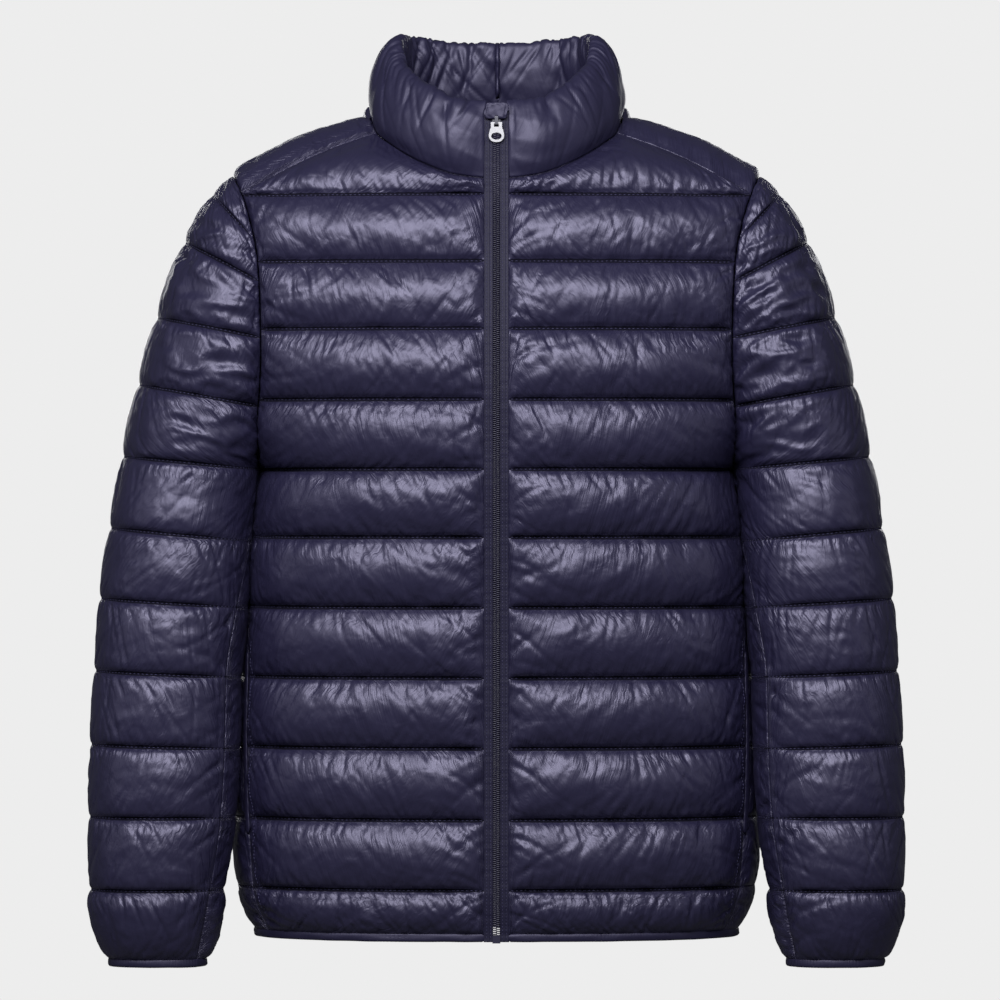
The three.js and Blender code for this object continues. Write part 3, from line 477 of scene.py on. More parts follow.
def tube_lift(points):
    """Share of the full puff at each point of a quilted grid, from its seams and lines."""
    along = length_along(points)
    near_seam = np.minimum(along, along[:, -1:] - along)
    t = (np.arange(len(points)) % ROWS_PER_BAND) / ROWS_PER_BAND
    return arch(t)[:, None] * rise(near_seam)


def body_fullness(points, top_share):
    """Flatter at the sides, where the sleeves press, in the last tube and over the shoulders."""
    to_side = 1 - np.clip((np.abs(points[..., 1]) - 20) / 60, 0, 1)
    at_side = np.where(points[..., 2] < FIRST_LINE, side_fullness(points[..., 2]), 1)
    hem = np.where(points[..., 2] < LINES[-2], 0.7, 1)
    full = (1 + (at_side - 1) * to_side) * hem
    full[:ROWS_PER_BAND] *= top_share
    return full


def smoothstep(x, low, high):
    """Three t squared minus two t cubed."""
    t = np.clip((x - low) / (high - low), 0, 1)
    return t * t * (3 - 2 * t)


def sleeve_fullness(points):
    """Flat on the inside, which lies against the body, and low on the outermost side."""
    place = (np.arange(len(points)) / ROWS_PER_BAND)[:, None]
    reach = np.where(place >= ARMPIT_RING, inner_x(place), ARMHOLE_WIDTH[4]["half"])
    across = (points[..., 0] - reach) / (sleeve_curves["out_x"](place) - reach)
    last = place >= len(SLEEVE) - 2
    outermost = 1 - np.where(last, 0.1, 0.75) * smoothstep(across, 0.75, 1)
    least = np.where(place < ARMPIT_RING + 1, 0, np.where(last, 0.9, 0.1))
    below = least + (1 - least) * smoothstep(across, 0.02, 0.4)
    return np.where(place < ARMPIT_RING, np.where(place < 1, 0.6, 1), below) * outermost


def blur_noise(shape, cells, rng):
    """Random heights on a coarse lattice with smoothstep blends between them."""
    coarse = rng.normal(size=(cells[0] + 2, cells[1] + 2))
    y = np.linspace(0, cells[0], shape[0])[:, None]
    x = np.linspace(0, cells[1], shape[1])[None, :]
    r, c = y.astype(int), x.astype(int)
    v, u = smoothstep(y - r, 0, 1), smoothstep(x - c, 0, 1)
    top = coarse[r, c] * (1 - u) + coarse[r, c + 1] * u
    foot = coarse[r + 1, c] * (1 - u) + coarse[r + 1, c + 1] * u
    return top * (1 - v) + foot * v


print("lift at a tube's middle:", round(float(arch(np.array(0.5))), 3))

# %% [markdown]
# Nylon does not stretch, and a tube needs more cloth than the flat shape between its two
# rows of thread. What is left over gathers beside the thread. A cloth simulation finds these
# gathers by itself: the rows of thread are pinned, each panel gets some cloth too much, and
# a light pressure from the down pushes it out. Left and right start from different small
# unevenness, as two sewn panels do, so that neither is a copy of the other.

# %% Simulate the gathered cloth of one panel


def grid_faces(rows, columns, flip):
    """Corner numbers of every square of a grid."""
    index = np.arange(rows * columns).reshape(rows, columns)
    corners = [index[:-1, :-1], index[1:, :-1], index[1:, 1:], index[:-1, 1:]]
    faces = np.stack(corners, -1).reshape(-1, 4)
    return faces[:, ::-1] if flip else faces


def gather(plain, outward, lift, seed, excess=0.075, pressure=160.0):
    """Cloth pinned along its thread and edges, longer than its pins allow, under pressure.

    The spare length is the whole excess where the tubes are full and a tenth where flat."""
    rng = np.random.default_rng(seed)
    rows, columns = plain.shape[:2]
    normals = grid_normals(plain, outward)
    uneven = blur_noise((rows, columns), (rows // 5, columns // 5), rng) * 0.6
    uneven += rng.normal(size=(rows, columns)) * 0.2
    start = plain + normals * (lift + uneven * np.clip(lift / 4, 0, 1))[..., None]
    mesh = bpy.data.meshes.new("gathering")
    faces = grid_faces(rows, columns, outward < 0)
    mesh.from_pydata((start * MM).reshape(-1, 3), [], faces)
    cloth = bpy.data.objects.new("gathering", mesh)
    bpy.context.scene.collection.objects.link(cloth)
    thread = np.zeros((rows, columns), bool)
    thread[::ROWS_PER_BAND] = True
    thread[:, [0, -1]] = True
    group = cloth.vertex_groups.new(name="thread")
    group.add(np.flatnonzero(thread).tolist(), 1.0, "REPLACE")
    spare = cloth.vertex_groups.new(name="spare")
    full = np.clip(lift.reshape(rows, columns) / lift.max() * 1.6, 0, 1)
    tubes = full[ROWS_PER_BAND // 2::ROWS_PER_BAND]
    levels = np.round(np.repeat(tubes, ROWS_PER_BAND, 0) * 8).astype(int)
    levels = np.concatenate([levels, levels[-1:]])[:rows]
    for level in range(1, 9):
        spare.add(np.flatnonzero(levels == level).tolist(), level / 8, "REPLACE")
    modifier = cloth.modifiers.new("cloth", "CLOTH")
    settings = modifier.settings
    settings.quality = 5
    settings.mass = 0.05
    settings.bending_stiffness = 0.02
    settings.vertex_group_mass = "thread"
    settings.vertex_group_shrink = "spare"
    settings.shrink_min = -excess * 0.1
    settings.shrink_max = -excess
    settings.use_pressure = True
    settings.uniform_pressure_force = pressure
    settings.effector_weights.gravity = 0
    modifier.collision_settings.use_collision = False
    modifier.point_cache.frame_end = 20
    scene = bpy.context.scene
    for frame_number in range(1, 21):
        scene.frame_set(frame_number)
    settled = cloth.evaluated_get(bpy.context.evaluated_depsgraph_get())
    flat = np.empty(rows * columns * 3, np.float32)
    settled.data.vertices.foreach_get("co", flat)
    bpy.data.objects.remove(cloth)
    bpy.data.meshes.remove(mesh)
    scene.frame_set(1)
    moved = flat.reshape(rows, columns, 3).astype(float) / MM - start
    far = np.linalg.norm(moved, axis=-1, keepdims=True)
    return start + moved * np.minimum(1, 9 / np.maximum(far, 1e-9))


def outward_sign(plain, centre):
    """Plus or minus one, so that the grid's normals point away from the middle of the form."""
    normals = grid_normals(plain, 1)
    away = plain - centre
    return 1 if (normals * away).sum(-1).mean() > 0 else -1


body_axis = front_plain * np.array([0, 0, 1])
front_out = outward_sign(front_plain, body_axis)
back_out = outward_sign(back_plain, back_plain * np.array([0, 0, 1]))
sleeve_middle = sleeve_plain.mean(1, keepdims=True)
sleeve_out = outward_sign(sleeve_plain[80:], sleeve_middle[80:])
front_lift = BODY_PUFF * 0.66 * tube_lift(front_plain) * body_fullness(front_plain, 0.65)
back_lift = BODY_PUFF * 0.66 * tube_lift(back_plain) * body_fullness(back_plain, 0.75)
sleeve_lift = SLEEVE_PUFF * 0.66 * tube_lift(sleeve_plain) * sleeve_fullness(sleeve_plain)
gathered = {
    "front_left": gather(front_plain, front_out, front_lift, 11),
    "front_right": gather(front_plain, front_out, front_lift, 12),
    "back": gather(back_plain, back_out, back_lift, 13),
    "sleeve_left": gather(sleeve_plain, sleeve_out, sleeve_lift, 14),
    "sleeve_right": gather(sleeve_plain, sleeve_out, sleeve_lift, 15),
}
print("signs", front_out, back_out, sleeve_out)
for panel, grid in gathered.items():
    print(panel, "deepest point", grid[..., 1].min().round(1), "to", grid[..., 1].max().round(1))

# %% [markdown]
# A finer grid is laid through the simulated one. Each tube is refined by itself, so that the
# valley at the thread stays sharp. Then the smallest puckers go in: needle and thread draw
# the cloth together, and short creases run out from the row, a few to the inch, most of them
# downward because the jacket hangs from its shoulders.

# %% Refine a panel and crease it beside the thread


def halve_rows(grid):
    """Middle points by cubic weights (-1, 9, 9, -1) / 16, quadratic at the two ends."""
    middle = np.empty((len(grid) - 1,) + grid.shape[1:])
    middle[1:-1] = (9 * (grid[1:-2] + grid[2:-1]) - grid[:-3] - grid[3:]) / 16
    middle[0] = (3 * grid[0] + 6 * grid[1] - grid[2]) / 8
    middle[-1] = (3 * grid[-1] + 6 * grid[-2] - grid[-3]) / 8
    finer = np.empty((2 * len(grid) - 1,) + grid.shape[1:])
    finer[::2] = grid
    finer[1::2] = middle
    return finer


FINE_ROWS = 2 * ROWS_PER_BAND
VALLEY_ROW = 0.3


def spread_rows(tube):
    """The same tube with its second and last but one rows drawn close to the thread."""
    inner = np.linspace(1.2, FINE_ROWS - 1.2, FINE_ROWS - 3)
    wanted = np.concatenate([[0, VALLEY_ROW], inner, [FINE_ROWS - VALLEY_ROW, FINE_ROWS]])
    below = np.minimum(wanted.astype(int), FINE_ROWS - 1)
    share = (wanted - below)[:, None, None]
    return tube[below] * (1 - share) + tube[below + 1] * share


def refine(grid):
    """Twice as many rows, tube by tube, then twice as many columns."""
    tubes = (len(grid) - 1) // ROWS_PER_BAND
    parts = [
        spread_rows(halve_rows(grid[k * ROWS_PER_BAND:(k + 1) * ROWS_PER_BAND + 1]))[:-1]
        for k in range(tubes)
    ]
    taller = np.concatenate(parts + [grid[-1:]])
    return halve_rows(taller.transpose(1, 0, 2)).transpose(1, 0, 2)


def crease_rows(count, width, rng):
    """Places, reach, slants and depths of the creases of one row of thread.

    The slant follows a slow wave along the row, so that neighbours lie nearly parallel."""
    spacing = width / count
    place = (np.arange(count) + 0.5 + rng.uniform(-0.42, 0.42, count)) * spacing
    wave = np.sin(place / rng.uniform(28, 50) + rng.uniform(0, 6.3))
    return {
        "place": place,
        "reach": rng.uniform(2.5, 7, count) * rng.choice([0.8, 1, 1.6, 2.6], count),
        "slant": 0.6 * wave + rng.normal(0, 0.22, count),
        "depth": rng.uniform(0.3, 1.5, count) ** 1.2,
        "width": rng.uniform(1.0, 1.9, count),
    }


def crease_depth(along, off, crease):
    """Sum of valleys: a bell across each crease times x exp(1 - x) out from the thread."""
    across = along[..., None] - crease["place"] - crease["slant"] * off[..., None]
    bell = np.exp(-((across / crease["width"]) ** 2))
    x = off[..., None] / crease["reach"]
    return (bell * crease["depth"] * x * np.exp(1 - x)).sum(-1)


def end_creases(from_seam, below, height, rng):
    """Long folds that leave a seam askew: a bell across each, fading with exp(-distance)."""
    fold = np.zeros(from_seam.shape)
    for _ in range(7):
        start = rng.uniform(0.1, 0.95) * height
        slope = rng.choice([-1, 1]) * rng.uniform(0.25, 0.9)
        width, reach = rng.uniform(1.6, 3.2), rng.uniform(16, 42)
        bent = below - start - slope * from_seam + 3 * np.sin(from_seam / rng.uniform(9, 16))
        strength = rng.uniform(0.7, 2.0) * np.clip(from_seam / 8, 0, 1)
        fold += strength * np.exp(-((bent / width) ** 2) - from_seam / reach)
    return fold


def ridges(along, down, slant, rng):
    """Absolute value of a slanted noise, 30 by 11 mm: sharp where the noise changes sign."""
    u = (along + slant * down) / 30
    v = (down - 0.3 * slant * along) / 11
    u, v = u - u.min(), v - v.min()
    coarse = rng.normal(size=(int(v.max()) + 2, int(u.max()) + 2))
    r, c = v.astype(int), u.astype(int)
    s, t = smoothstep(v - r, 0, 1), smoothstep(u - c, 0, 1)
    top = coarse[r, c] * (1 - t) + coarse[r, c + 1] * t
    foot = coarse[r + 1, c] * (1 - t) + coarse[r + 1, c + 1] * t
    return np.abs(top * (1 - s) + foot * s)


def stitch_fullness(lift):
    """How full the flatter of the two tubes at each row of thread is, on the fine columns."""
    middles = lift[ROWS_PER_BAND // 2::ROWS_PER_BAND] / lift.max()
    rows = np.minimum(middles[1:], middles[:-1])
    fine_rows = np.empty((len(rows), 2 * rows.shape[1] - 1))
    fine_rows[:, ::2] = rows
    fine_rows[:, 1::2] = (rows[:, 1:] + rows[:, :-1]) / 2
    return np.clip(fine_rows * 1.8 - 0.2, 0, 1)


def pucker(grid, outward, seed, lift, crush=0.0):
    """Creases below each row of thread at full depth and above the next at half depth.

    Folds leave the seams, and cracked ridges cover the cloth where it is crushed."""
    rng = np.random.default_rng(seed)
    along = length_along(grid)
    down = length_down(grid)
    normals = grid_normals(grid, outward)
    drop = np.zeros(grid.shape[:2])
    for tube in range((len(grid) - 1) // FINE_ROWS):
        rows = slice(tube * FINE_ROWS, (tube + 1) * FINE_ROWS + 1)
        width = float(along[rows].mean(0)[-1])
        count = max(3, int(width / 4.8))
        below = down[rows] - down[rows][:1]
        above = down[rows][-1:] - down[rows]
        fall = crease_depth(along[rows], below, crease_rows(count, width, rng))
        climb_up = crease_depth(along[rows], above, crease_rows(count, width, rng))
        height = float(below[-1].mean())
        drop[rows] += fall + 0.7 * climb_up
        inside = np.clip(np.minimum(below, above) / 8, 0, 1)
        drop[rows] += inside * end_creases(along[rows], below, height, rng)
        drop[rows] += inside * end_creases(along[rows][:, -1:] - along[rows], below, height, rng)
    cracked = ridges(along, down, 0.9, rng) + ridges(along, down, -0.7, rng)
    place = np.arange(len(drop)) % FINE_ROWS
    free = np.clip(np.minimum(place, FINE_ROWS - place) / 5, 0, 1)[:, None]
    drop += free * (0.3 + crush) * (cracked - 1.2)
    near_seam = np.minimum(along, along[:, -1:] - along)
    drop *= np.clip(near_seam / 6, 0, 1)
    drop[::FINE_ROWS] = 0
    groove = 1.5 * stitch_fullness(lift) * np.clip(near_seam[FINE_ROWS:-1:FINE_ROWS] / 3, 0, 1)
    sewn_rows = np.arange(FINE_ROWS, len(grid) - 1, FINE_ROWS)
    for shift in (-1, 0, 1):
        drop[sewn_rows + shift] = groove
    return grid - normals * drop[..., None]


def crushed_front(grid):
    """Two at the front of the sleeve's head, where the arm hole folds the cloth; zero below."""
    high = smoothstep(grid[..., 2], -330, -260) * (1 - smoothstep(grid[..., 2], -110, -70))
    front = 1 - smoothstep(grid[..., 1], -35, 5)
    inward = 1 - smoothstep(grid[..., 0], 262, 292)
    return 1.5 * high * front * inward


head_left, head_right = refine(gathered["sleeve_left"]), refine(gathered["sleeve_right"])
fine = {
    "front_left": pucker(refine(gathered["front_left"]), front_out, 21, front_lift),
    "front_right": pucker(refine(gathered["front_right"]), front_out, 22, front_lift),
    "back": pucker(refine(gathered["back"]), back_out, 23, back_lift),
    "sleeve_left": pucker(head_left, sleeve_out, 24, sleeve_lift, crushed_front(head_left)),
    "sleeve_right": pucker(head_right, sleeve_out, 25, sleeve_lift, crushed_front(head_right)),
}
print("points after refining:", {name: grid.shape[:2] for name, grid in fine.items()})

# %% [markdown]
# Each panel becomes a closed shell: the quilted outside, a plain lining 3 mm behind the
# stitched surface and a rim between them. The lining needs far fewer faces than the outside.

# %% Build closed panels from an outer and an inner grid


def gathered_share(grid):
    """One beside the thread and the seams, falling to zero by exp(-distance) in 9 to 14 mm."""
    along, down = length_along(grid), length_down(grid)
    near_seam = np.minimum(along, along[:, -1:] - along)
    share = 0.7 * np.exp(-near_seam / 14)
    for top in range(0, len(grid) - 1, FINE_ROWS):
        rows = slice(top, top + FINE_ROWS + 1)
        below, above = down[rows] - down[rows][:1], down[rows][-1:] - down[rows]
        share[rows] += np.exp(-below / 13) + 0.6 * np.exp(-above / 9)
    return np.clip(share, 0, 1)


def rim_faces(fine_edge, coarse_edge):
    """Triangles between an edge and one with a quarter of its points."""
    a, b = coarse_edge[:-1], coarse_edge[1:]
    f = [fine_edge[k:len(fine_edge) - 4 + k:4] for k in range(5)]
    corners = [(a, f[0], f[1]), (a, f[1], f[2]), (a, f[2], b), (b, f[2], f[3]), (b, f[3], f[4])]
    return np.concatenate([np.stack(corner, -1) for corner in corners])


def mesh_object(name, points, quads, triangles, uv=None):
    """Mesh object from arrays of points in millimetres and faces of four and three."""
    mesh = bpy.data.meshes.new(name)
    loops = np.concatenate([quads.ravel(), triangles.ravel()]).astype(np.int32)
    starts = np.concatenate([
        np.arange(len(quads)) * 4,
        len(quads) * 4 + np.arange(len(triangles)) * 3,
    ]).astype(np.int32)
    mesh.vertices.add(len(points))
    mesh.vertices.foreach_set("co", (points * MM).astype(np.float32).ravel())
    mesh.loops.add(len(loops))
    mesh.loops.foreach_set("vertex_index", loops)
    mesh.polygons.add(len(starts))
    mesh.polygons.foreach_set("loop_start", starts)
    mesh.update(calc_edges=True)
    mesh.shade_smooth()
    if uv is not None:
        layer = mesh.uv_layers.new(name="cloth")
        layer.data.foreach_set("uv", (uv[loops] * MM).astype(np.float32).ravel())
    piece = bpy.data.objects.new(name, mesh)
    bpy.context.scene.collection.objects.link(piece)
    return piece


NO_TRIANGLES = np.zeros((0, 3), int)


def panel_shell(name, outer, plain, outward, mirrored):
    """Outer grid at full resolution, lining at a quarter of it, joined all round."""
    normals = grid_normals(plain, outward)
    inner = (plain - normals * WALL)[::2, ::2]
    rows, columns = outer.shape[:2]
    fine_index = np.arange(rows * columns).reshape(rows, columns)
    inner_index = rows * columns + np.arange(inner.shape[0] * inner.shape[1])
    inner_index = inner_index.reshape(inner.shape[:2])
    flip = (outward < 0) != mirrored
    quads = grid_faces(rows, columns, flip)
    lining = grid_faces(*inner.shape[:2], not flip) + rows * columns
    edges = [
        rim_faces(fine_index[0], inner_index[0]),
        rim_faces(fine_index[-1], inner_index[-1])[:, ::-1],
        rim_faces(fine_index[:, 0], inner_index[:, 0])[:, ::-1],
        rim_faces(fine_index[:, -1], inner_index[:, -1]),
    ]
    rim = np.concatenate(edges)
    points = np.concatenate([outer.reshape(-1, 3), inner.reshape(-1, 3)])
    if mirrored:
        points = mirror(points)
    uv_outer = np.stack([length_along(outer), length_down(outer)], -1)
    uv_inner = np.stack([length_along(inner), length_down(inner)], -1)
    uv = np.concatenate([uv_outer.reshape(-1, 2), uv_inner.reshape(-1, 2)])
    faces = np.concatenate([quads, lining])
    piece = mesh_object(name, points, faces, rim[:, ::-1] if flip else rim, uv)
    # Faces just above and below each row of thread take the second material, a painted shade for the shadow
    # in the seam's valley.
    valley = np.zeros((rows - 1, columns - 1), np.int32)
    valley[FINE_ROWS:-1:FINE_ROWS] = 1
    valley[FINE_ROWS - 1:-1:FINE_ROWS] = 1
    valley[-1] = 0
    index = np.zeros(len(piece.data.polygons), np.int32)
    index[:valley.size] = valley.ravel()
    piece.data.polygons.foreach_set("material_index", index)
    gathers = np.zeros(len(points), np.float32)
    gathers[:rows * columns] = gathered_share(outer).ravel()
    piece.data.attributes.new("gathers", "FLOAT", "POINT").data.foreach_set("value", gathers)
    return piece


pieces = {}
PLAIN = {"front": (front_plain, front_out), "back": (back_plain, back_out),
         "sleeve": (sleeve_plain, sleeve_out)}
for name, grid in fine.items():
    plain, outward = PLAIN[name.split("_")[0]]
    pieces[name] = panel_shell(name + "_quilted", grid, plain, outward, name.endswith("right"))
    print(name, "faces", len(pieces[name].data.polygons))

# %% [markdown]
# The collar is one padded tube set on the neck seam. Its cloth goes up outside, rolls over
# the rim and comes down inside, so it is modelled as one closed section carried round the
# neck. A few tacks through both layers dent the roll, and tall creases hang from them.

# %% Section of the collar and the frames that carry it round the neck
COLLAR_HEIGHT = 66
COLLAR_SECTION = np.array([
    (0, 0), (6, 12), (8, 28), (6, 44), (1, 58), (-6, 65), (-13, 64),
    (-17, 54), (-18, 40), (-17, 24), (-12, 10), (-5, 0),
], float)
COLLAR_LIFT = 0.9


def smooth_line(points, count):
    """Catmull-Rom curve through the points, then points at equal distances on it."""
    padded = np.concatenate([2 * points[:1] - points[1:2], points, 2 * points[-1:] - points[-2:-1]])
    t = np.linspace(0, len(points) - 1, 40 * len(points))
    i = np.minimum(t.astype(int), len(points) - 2)
    u = (t - i)[:, None]
    p0, p1, p2, p3 = (padded[i + k] for k in range(4))
    curve = 0.5 * (
        2 * p1 + (p2 - p0) * u + (2 * p0 - 5 * p1 + 4 * p2 - p3) * u**2
        + (3 * p1 - p0 - 3 * p2 + p3) * u**3
    )
    return even_rows(curve[None], count)[0]


def frame_round_neck(turns):
    """Place and outward direction on the neck seam at each turn, in degrees from the front."""
    angle = np.where(turns > 180, 360 - turns, turns)
    side = np.where(turns > 180, -1.0, 1.0)
    at = neck_point(angle)
    along = neck_point(np.minimum(angle + 2, 180)) - neck_point(np.maximum(angle - 2, 0))
    out = unit(np.stack([along[:, 1], -along[:, 0], 0 * angle], -1))
    at[:, 0] = np.maximum(at[:, 0], np.where(angle < 90, ZIP_HALF_OPENING, 0))
    for vectors in (at, out):
        vectors[:, 0] *= side
    return at, out


def bell(x, centre, width):
    """Gaussian bell of height one."""
    return np.exp(-(((x - centre) / width) ** 2))


COLLAR_TURNS = np.linspace(4.9, 355.1, 421)
COLLAR_PROFILE_POINTS = 74


def collar_surface():
    """Section points at every turn, flatter beside the zip, leaning in toward the top and taller at the
    back.
    """
    at, out = frame_round_neck(COLLAR_TURNS)
    section = smooth_line(COLLAR_SECTION, COLLAR_PROFILE_POINTS)
    beside = np.abs(at[:, 0]) - ZIP_HALF_OPENING + np.where(at[:, 1] > -60, TAPER, 0)
    full = 0.35 + 0.65 * rise(np.maximum(0, beside))
    middle = -2.5
    offset = middle + (section[None, :, 0] - middle) * full[:, None]
    from_zip = np.abs(at[:, :1])
    lean = 13 * (from_zip / 105.5) ** 2 + 6 * (1 - smoothstep(from_zip, 10, 38))
    offset -= section[None, :, 1] / COLLAR_HEIGHT * lean
    grid = at[:, None] + out[:, None] * offset[..., None]
    turned = np.where(COLLAR_TURNS > 180, 360 - COLLAR_TURNS, COLLAR_TURNS)
    taller = neck_height(turned)[:, None] / COLLAR_HEIGHT
    grid[..., 2] += COLLAR_LIFT + section[None, :, 1] * taller
    return grid


collar_plain = collar_surface()
print("collar points", collar_plain.shape)


# %% Dents, creases and puckers of the collar
def crumple_collar(grid, seed):
    """Moves points along the normals: broad swells, tall creases inside, puckers at the seams."""
    rng = np.random.default_rng(seed)
    rows, columns = grid.shape[:2]
    along = length_down(grid[:, :1])[:, :1] * 1.0
    share = np.linspace(0, 1, columns)[None, :]
    normals = grid_normals(grid, 1)
    centre = grid.mean(1, keepdims=True)
    if ((grid - centre) * normals).sum() < 0:
        normals = -normals
    section = smooth_line(COLLAR_SECTION, COLLAR_PROFILE_POINTS)
    up = section[None, :, 1]
    outside = share < 0.5
    move = blur_noise((rows, columns), (26, 9), rng) * 0.7
    move += blur_noise((rows, columns), (60, 16), rng) * np.where(outside, 0.12, 0.4)
    zip_side = np.exp(-np.minimum(along, along[-1:] - along) / 20)
    move -= 1.1 * zip_side * np.abs(np.sin(up / 5.5 + along / 17)) * outside
    foot = np.where(outside, up, 99.0)
    inner_foot = np.where(outside, 99.0, up)
    rim_distance = np.abs(up - 62) + 3 * outside
    for distance, scale, spacing in ((foot, 0.35, 8), (inner_foot, 0.6, 9), (rim_distance, 1.1, 6)):
        count = int(along[-1, 0] / spacing)
        creases = crease_rows(count, float(along[-1, 0]), rng)
        wide = np.broadcast_to(along, (rows, columns))
        move -= 1.1 * scale * crease_depth(wide, np.broadcast_to(distance, wide.shape), creases)
    turns = COLLAR_TURNS[:, None]
    for turn, depth, width in ((24, 3.2, 3.5), (336, 3.2, 3.5), (127, 2.6, 3), (238, 2.6, 3),
                               (180, 3.4, 2.2)):
        rim = bell(up, 56, 12)
        move -= depth * bell(turns, turn, width) * rim
    hanging = rng.uniform(100, 260, 18)
    for turn, depth, width in zip(hanging, rng.uniform(0.6, 2.2, 18), rng.uniform(0.9, 3.2, 18)):
        slant = rng.normal(0, 11)
        line = turn + slant * (up - 40) / 40
        move -= depth * bell(turns, line, width) * np.where(outside, 0, smoothstep(up, 2, 20))
    open_end = np.minimum(along, along[-1:] - along)
    move *= np.clip(open_end / 5, 0, 1) * np.clip(up / 3, 0, 1)
    return grid + normals * move[..., None]


collar_grid = crumple_collar(collar_plain, 31)


def closed_tube(name, grid, looped=False):
    """Closed sections carried along a path: squares between them and a fan on each open end."""
    rows, columns = grid.shape[:2]
    index = np.arange(rows * columns).reshape(rows, columns)
    if looped:
        index = np.concatenate([index, index[:1]])
    wrapped = np.concatenate([index, index[:, :1]], 1)
    corners = [wrapped[:-1, :-1], wrapped[1:, :-1], wrapped[1:, 1:], wrapped[:-1, 1:]]
    quads = np.stack(corners, -1).reshape(-1, 4)
    points = grid.reshape(-1, 3)
    fans = NO_TRIANGLES
    if not looped:
        hubs = len(points) + np.arange(2)
        points = np.concatenate([points, grid[[0, -1]].mean(1)])
        first, last = wrapped[0], wrapped[-1]
        fans = np.concatenate([
            np.stack([first[:-1], first[1:], 0 * first[1:] + hubs[0]], -1),
            np.stack([last[1:], last[:-1], 0 * last[1:] + hubs[1]], -1),
        ])
    a, b, c = (points[quads[:, k]] for k in range(3))
    volume = (np.cross(b - a, c - a) * (a - points.mean(0))).sum()
    if volume < 0:
        quads, fans = quads[:, ::-1], fans[:, ::-1]
    around = np.broadcast_to(length_along(grid).mean(0), (rows, columns))
    along = np.broadcast_to(length_down(grid).mean(1)[:, None], (rows, columns))
    uv = np.stack([along, around], -1).reshape(-1, 2)
    uv = np.concatenate([uv, np.zeros((len(points) - len(uv), 2))])
    return mesh_object(name, points, quads, fans, uv)


pieces["collar"] = closed_tube("collar_padded", collar_grid)
print("collar faces", len(pieces["collar"].data.polygons))

# %% [markdown]
# Hem and cuffs are bound with a narrow strip of the same cloth over an elastic. The elastic
# draws the strip into fine ribs.

# %% Bindings at the hem and the cuffs
SEAM_GAP = 0.3
BINDING_HEIGHT, BINDING_THICKNESS = 7.5, 4.5


BINDING_SECTION_POINTS = 16


def ribbed_binding(ring, z, looped, seed):
    """Rounded section 7.5 by 4.5 mm along a ring, its surface raised in ribs 2.6 mm apart."""
    rng = np.random.default_rng(seed)
    if looped:
        along = np.roll(ring, -1, 0) - np.roll(ring, 1, 0)
    else:
        along = np.gradient(ring, axis=0)
    out = unit(np.stack([along[:, 1], -along[:, 0], 0 * along[:, 0]], -1))
    middle = (ring.min(0) + ring.max(0)) / 2
    if ((ring - middle) * out).sum() < 0:
        out = -out
    angle = np.arange(BINDING_SECTION_POINTS) * 2 * np.pi / BINDING_SECTION_POINTS
    across = np.sign(np.cos(angle)) * np.abs(np.cos(angle)) ** 0.75
    upward = np.sign(np.sin(angle)) * np.abs(np.sin(angle)) ** 0.75
    far = length_down(ring[:, None])[:, 0]
    phase = far / 2.6 + 0.35 * blur_noise((len(ring), 2), (len(ring) // 12, 1), rng)[:, 0]
    rib = 0.28 * np.sin(2 * np.pi * phase)[:, None] * (1 - 0.4 * np.abs(upward))
    swell = 0.3 * blur_noise((len(ring), BINDING_SECTION_POINTS), (len(ring) // 14, 3), rng)
    ends = np.ones(len(ring)) if looped else np.clip(np.minimum(far, far[-1] - far) / 1.5, 0.8, 1)
    grow = (1 + (rib + swell) / 3) * ends[:, None]
    offset = BINDING_THICKNESS / 2 * across * grow
    height = BINDING_HEIGHT / 2 * upward * (1 + 0.25 * (grow - 1)) * ends[:, None]
    at = np.stack([ring[:, 0], ring[:, 1], z + 0 * far], -1) - 1.5 * out
    grid = at[:, None] + out[:, None] * offset[..., None]
    grid[..., 2] += height
    return grid


hem_start = math.asin(ZIP_HALF_OPENING / float(front_depth(HEM_Z)))
hem_turns = np.linspace(hem_start, 2 * math.pi - hem_start, 1501)[None, :]
hem_turns_signed = np.where(hem_turns > np.pi, hem_turns - 2 * np.pi, hem_turns)
hem_ring = even_rows(oval_point(np.array([[HEM_Z]]), hem_turns_signed), 860)[0]
TUCK = 1.2
hem_z = HEM_Z + TUCK - SEAM_GAP - BINDING_HEIGHT / 2
pieces["hem_binding"] = closed_tube("hem_binding_ribbed", ribbed_binding(hem_ring, hem_z, False, 41))
cuff_ring = even_rows(sleeve_plain[-1:], 240)[0][:-1]
cuff_z = cuff_ring[0, 2] + TUCK - SEAM_GAP - BINDING_HEIGHT / 2
for side, seed in (("left", 42), ("right", 43)):
    grid = ribbed_binding(cuff_ring, cuff_z, True, seed)
    grid = mirror(grid) if side == "right" else grid
    pieces["cuff_binding_" + side] = closed_tube("cuff_binding_" + side + "_ribbed", grid, True)
print("hem length", round(float(length_down(hem_ring[:, None])[-1, 0])), "mm")

# %% [markdown]
# The zip is a coil zip. A tape runs up each front edge with the coil sewn along its inner
# side, and where the slider has passed the two coils hook into one chain.

# %% The zip's line, its tapes and its coils
CHAIN_HALF_WIDTH = 3.3
ZIP_TOP = float(neck_z(0.0)) + COLLAR_HEIGHT - 6
ZIP_FOOT = HEM_Z - BINDING_HEIGHT


def zip_line(z):
    """Front edge of the body, then straight up the front of the collar, leaning in 6 mm."""
    foot = float(neck_z(0.0))
    top_y = float(neck_y(0.0)) - 0.5
    start = -float(front_depth(FIRST_LINE))
    t = np.clip((z - FIRST_LINE) / (foot - FIRST_LINE), 0, 1)
    y = np.where(z <= FIRST_LINE, -front_depth(z), start + (top_y - start) * t)
    y = np.where(z >= foot, top_y + (z - foot) / COLLAR_HEIGHT * 6, y)
    return np.stack([0 * z, y, z], -1)


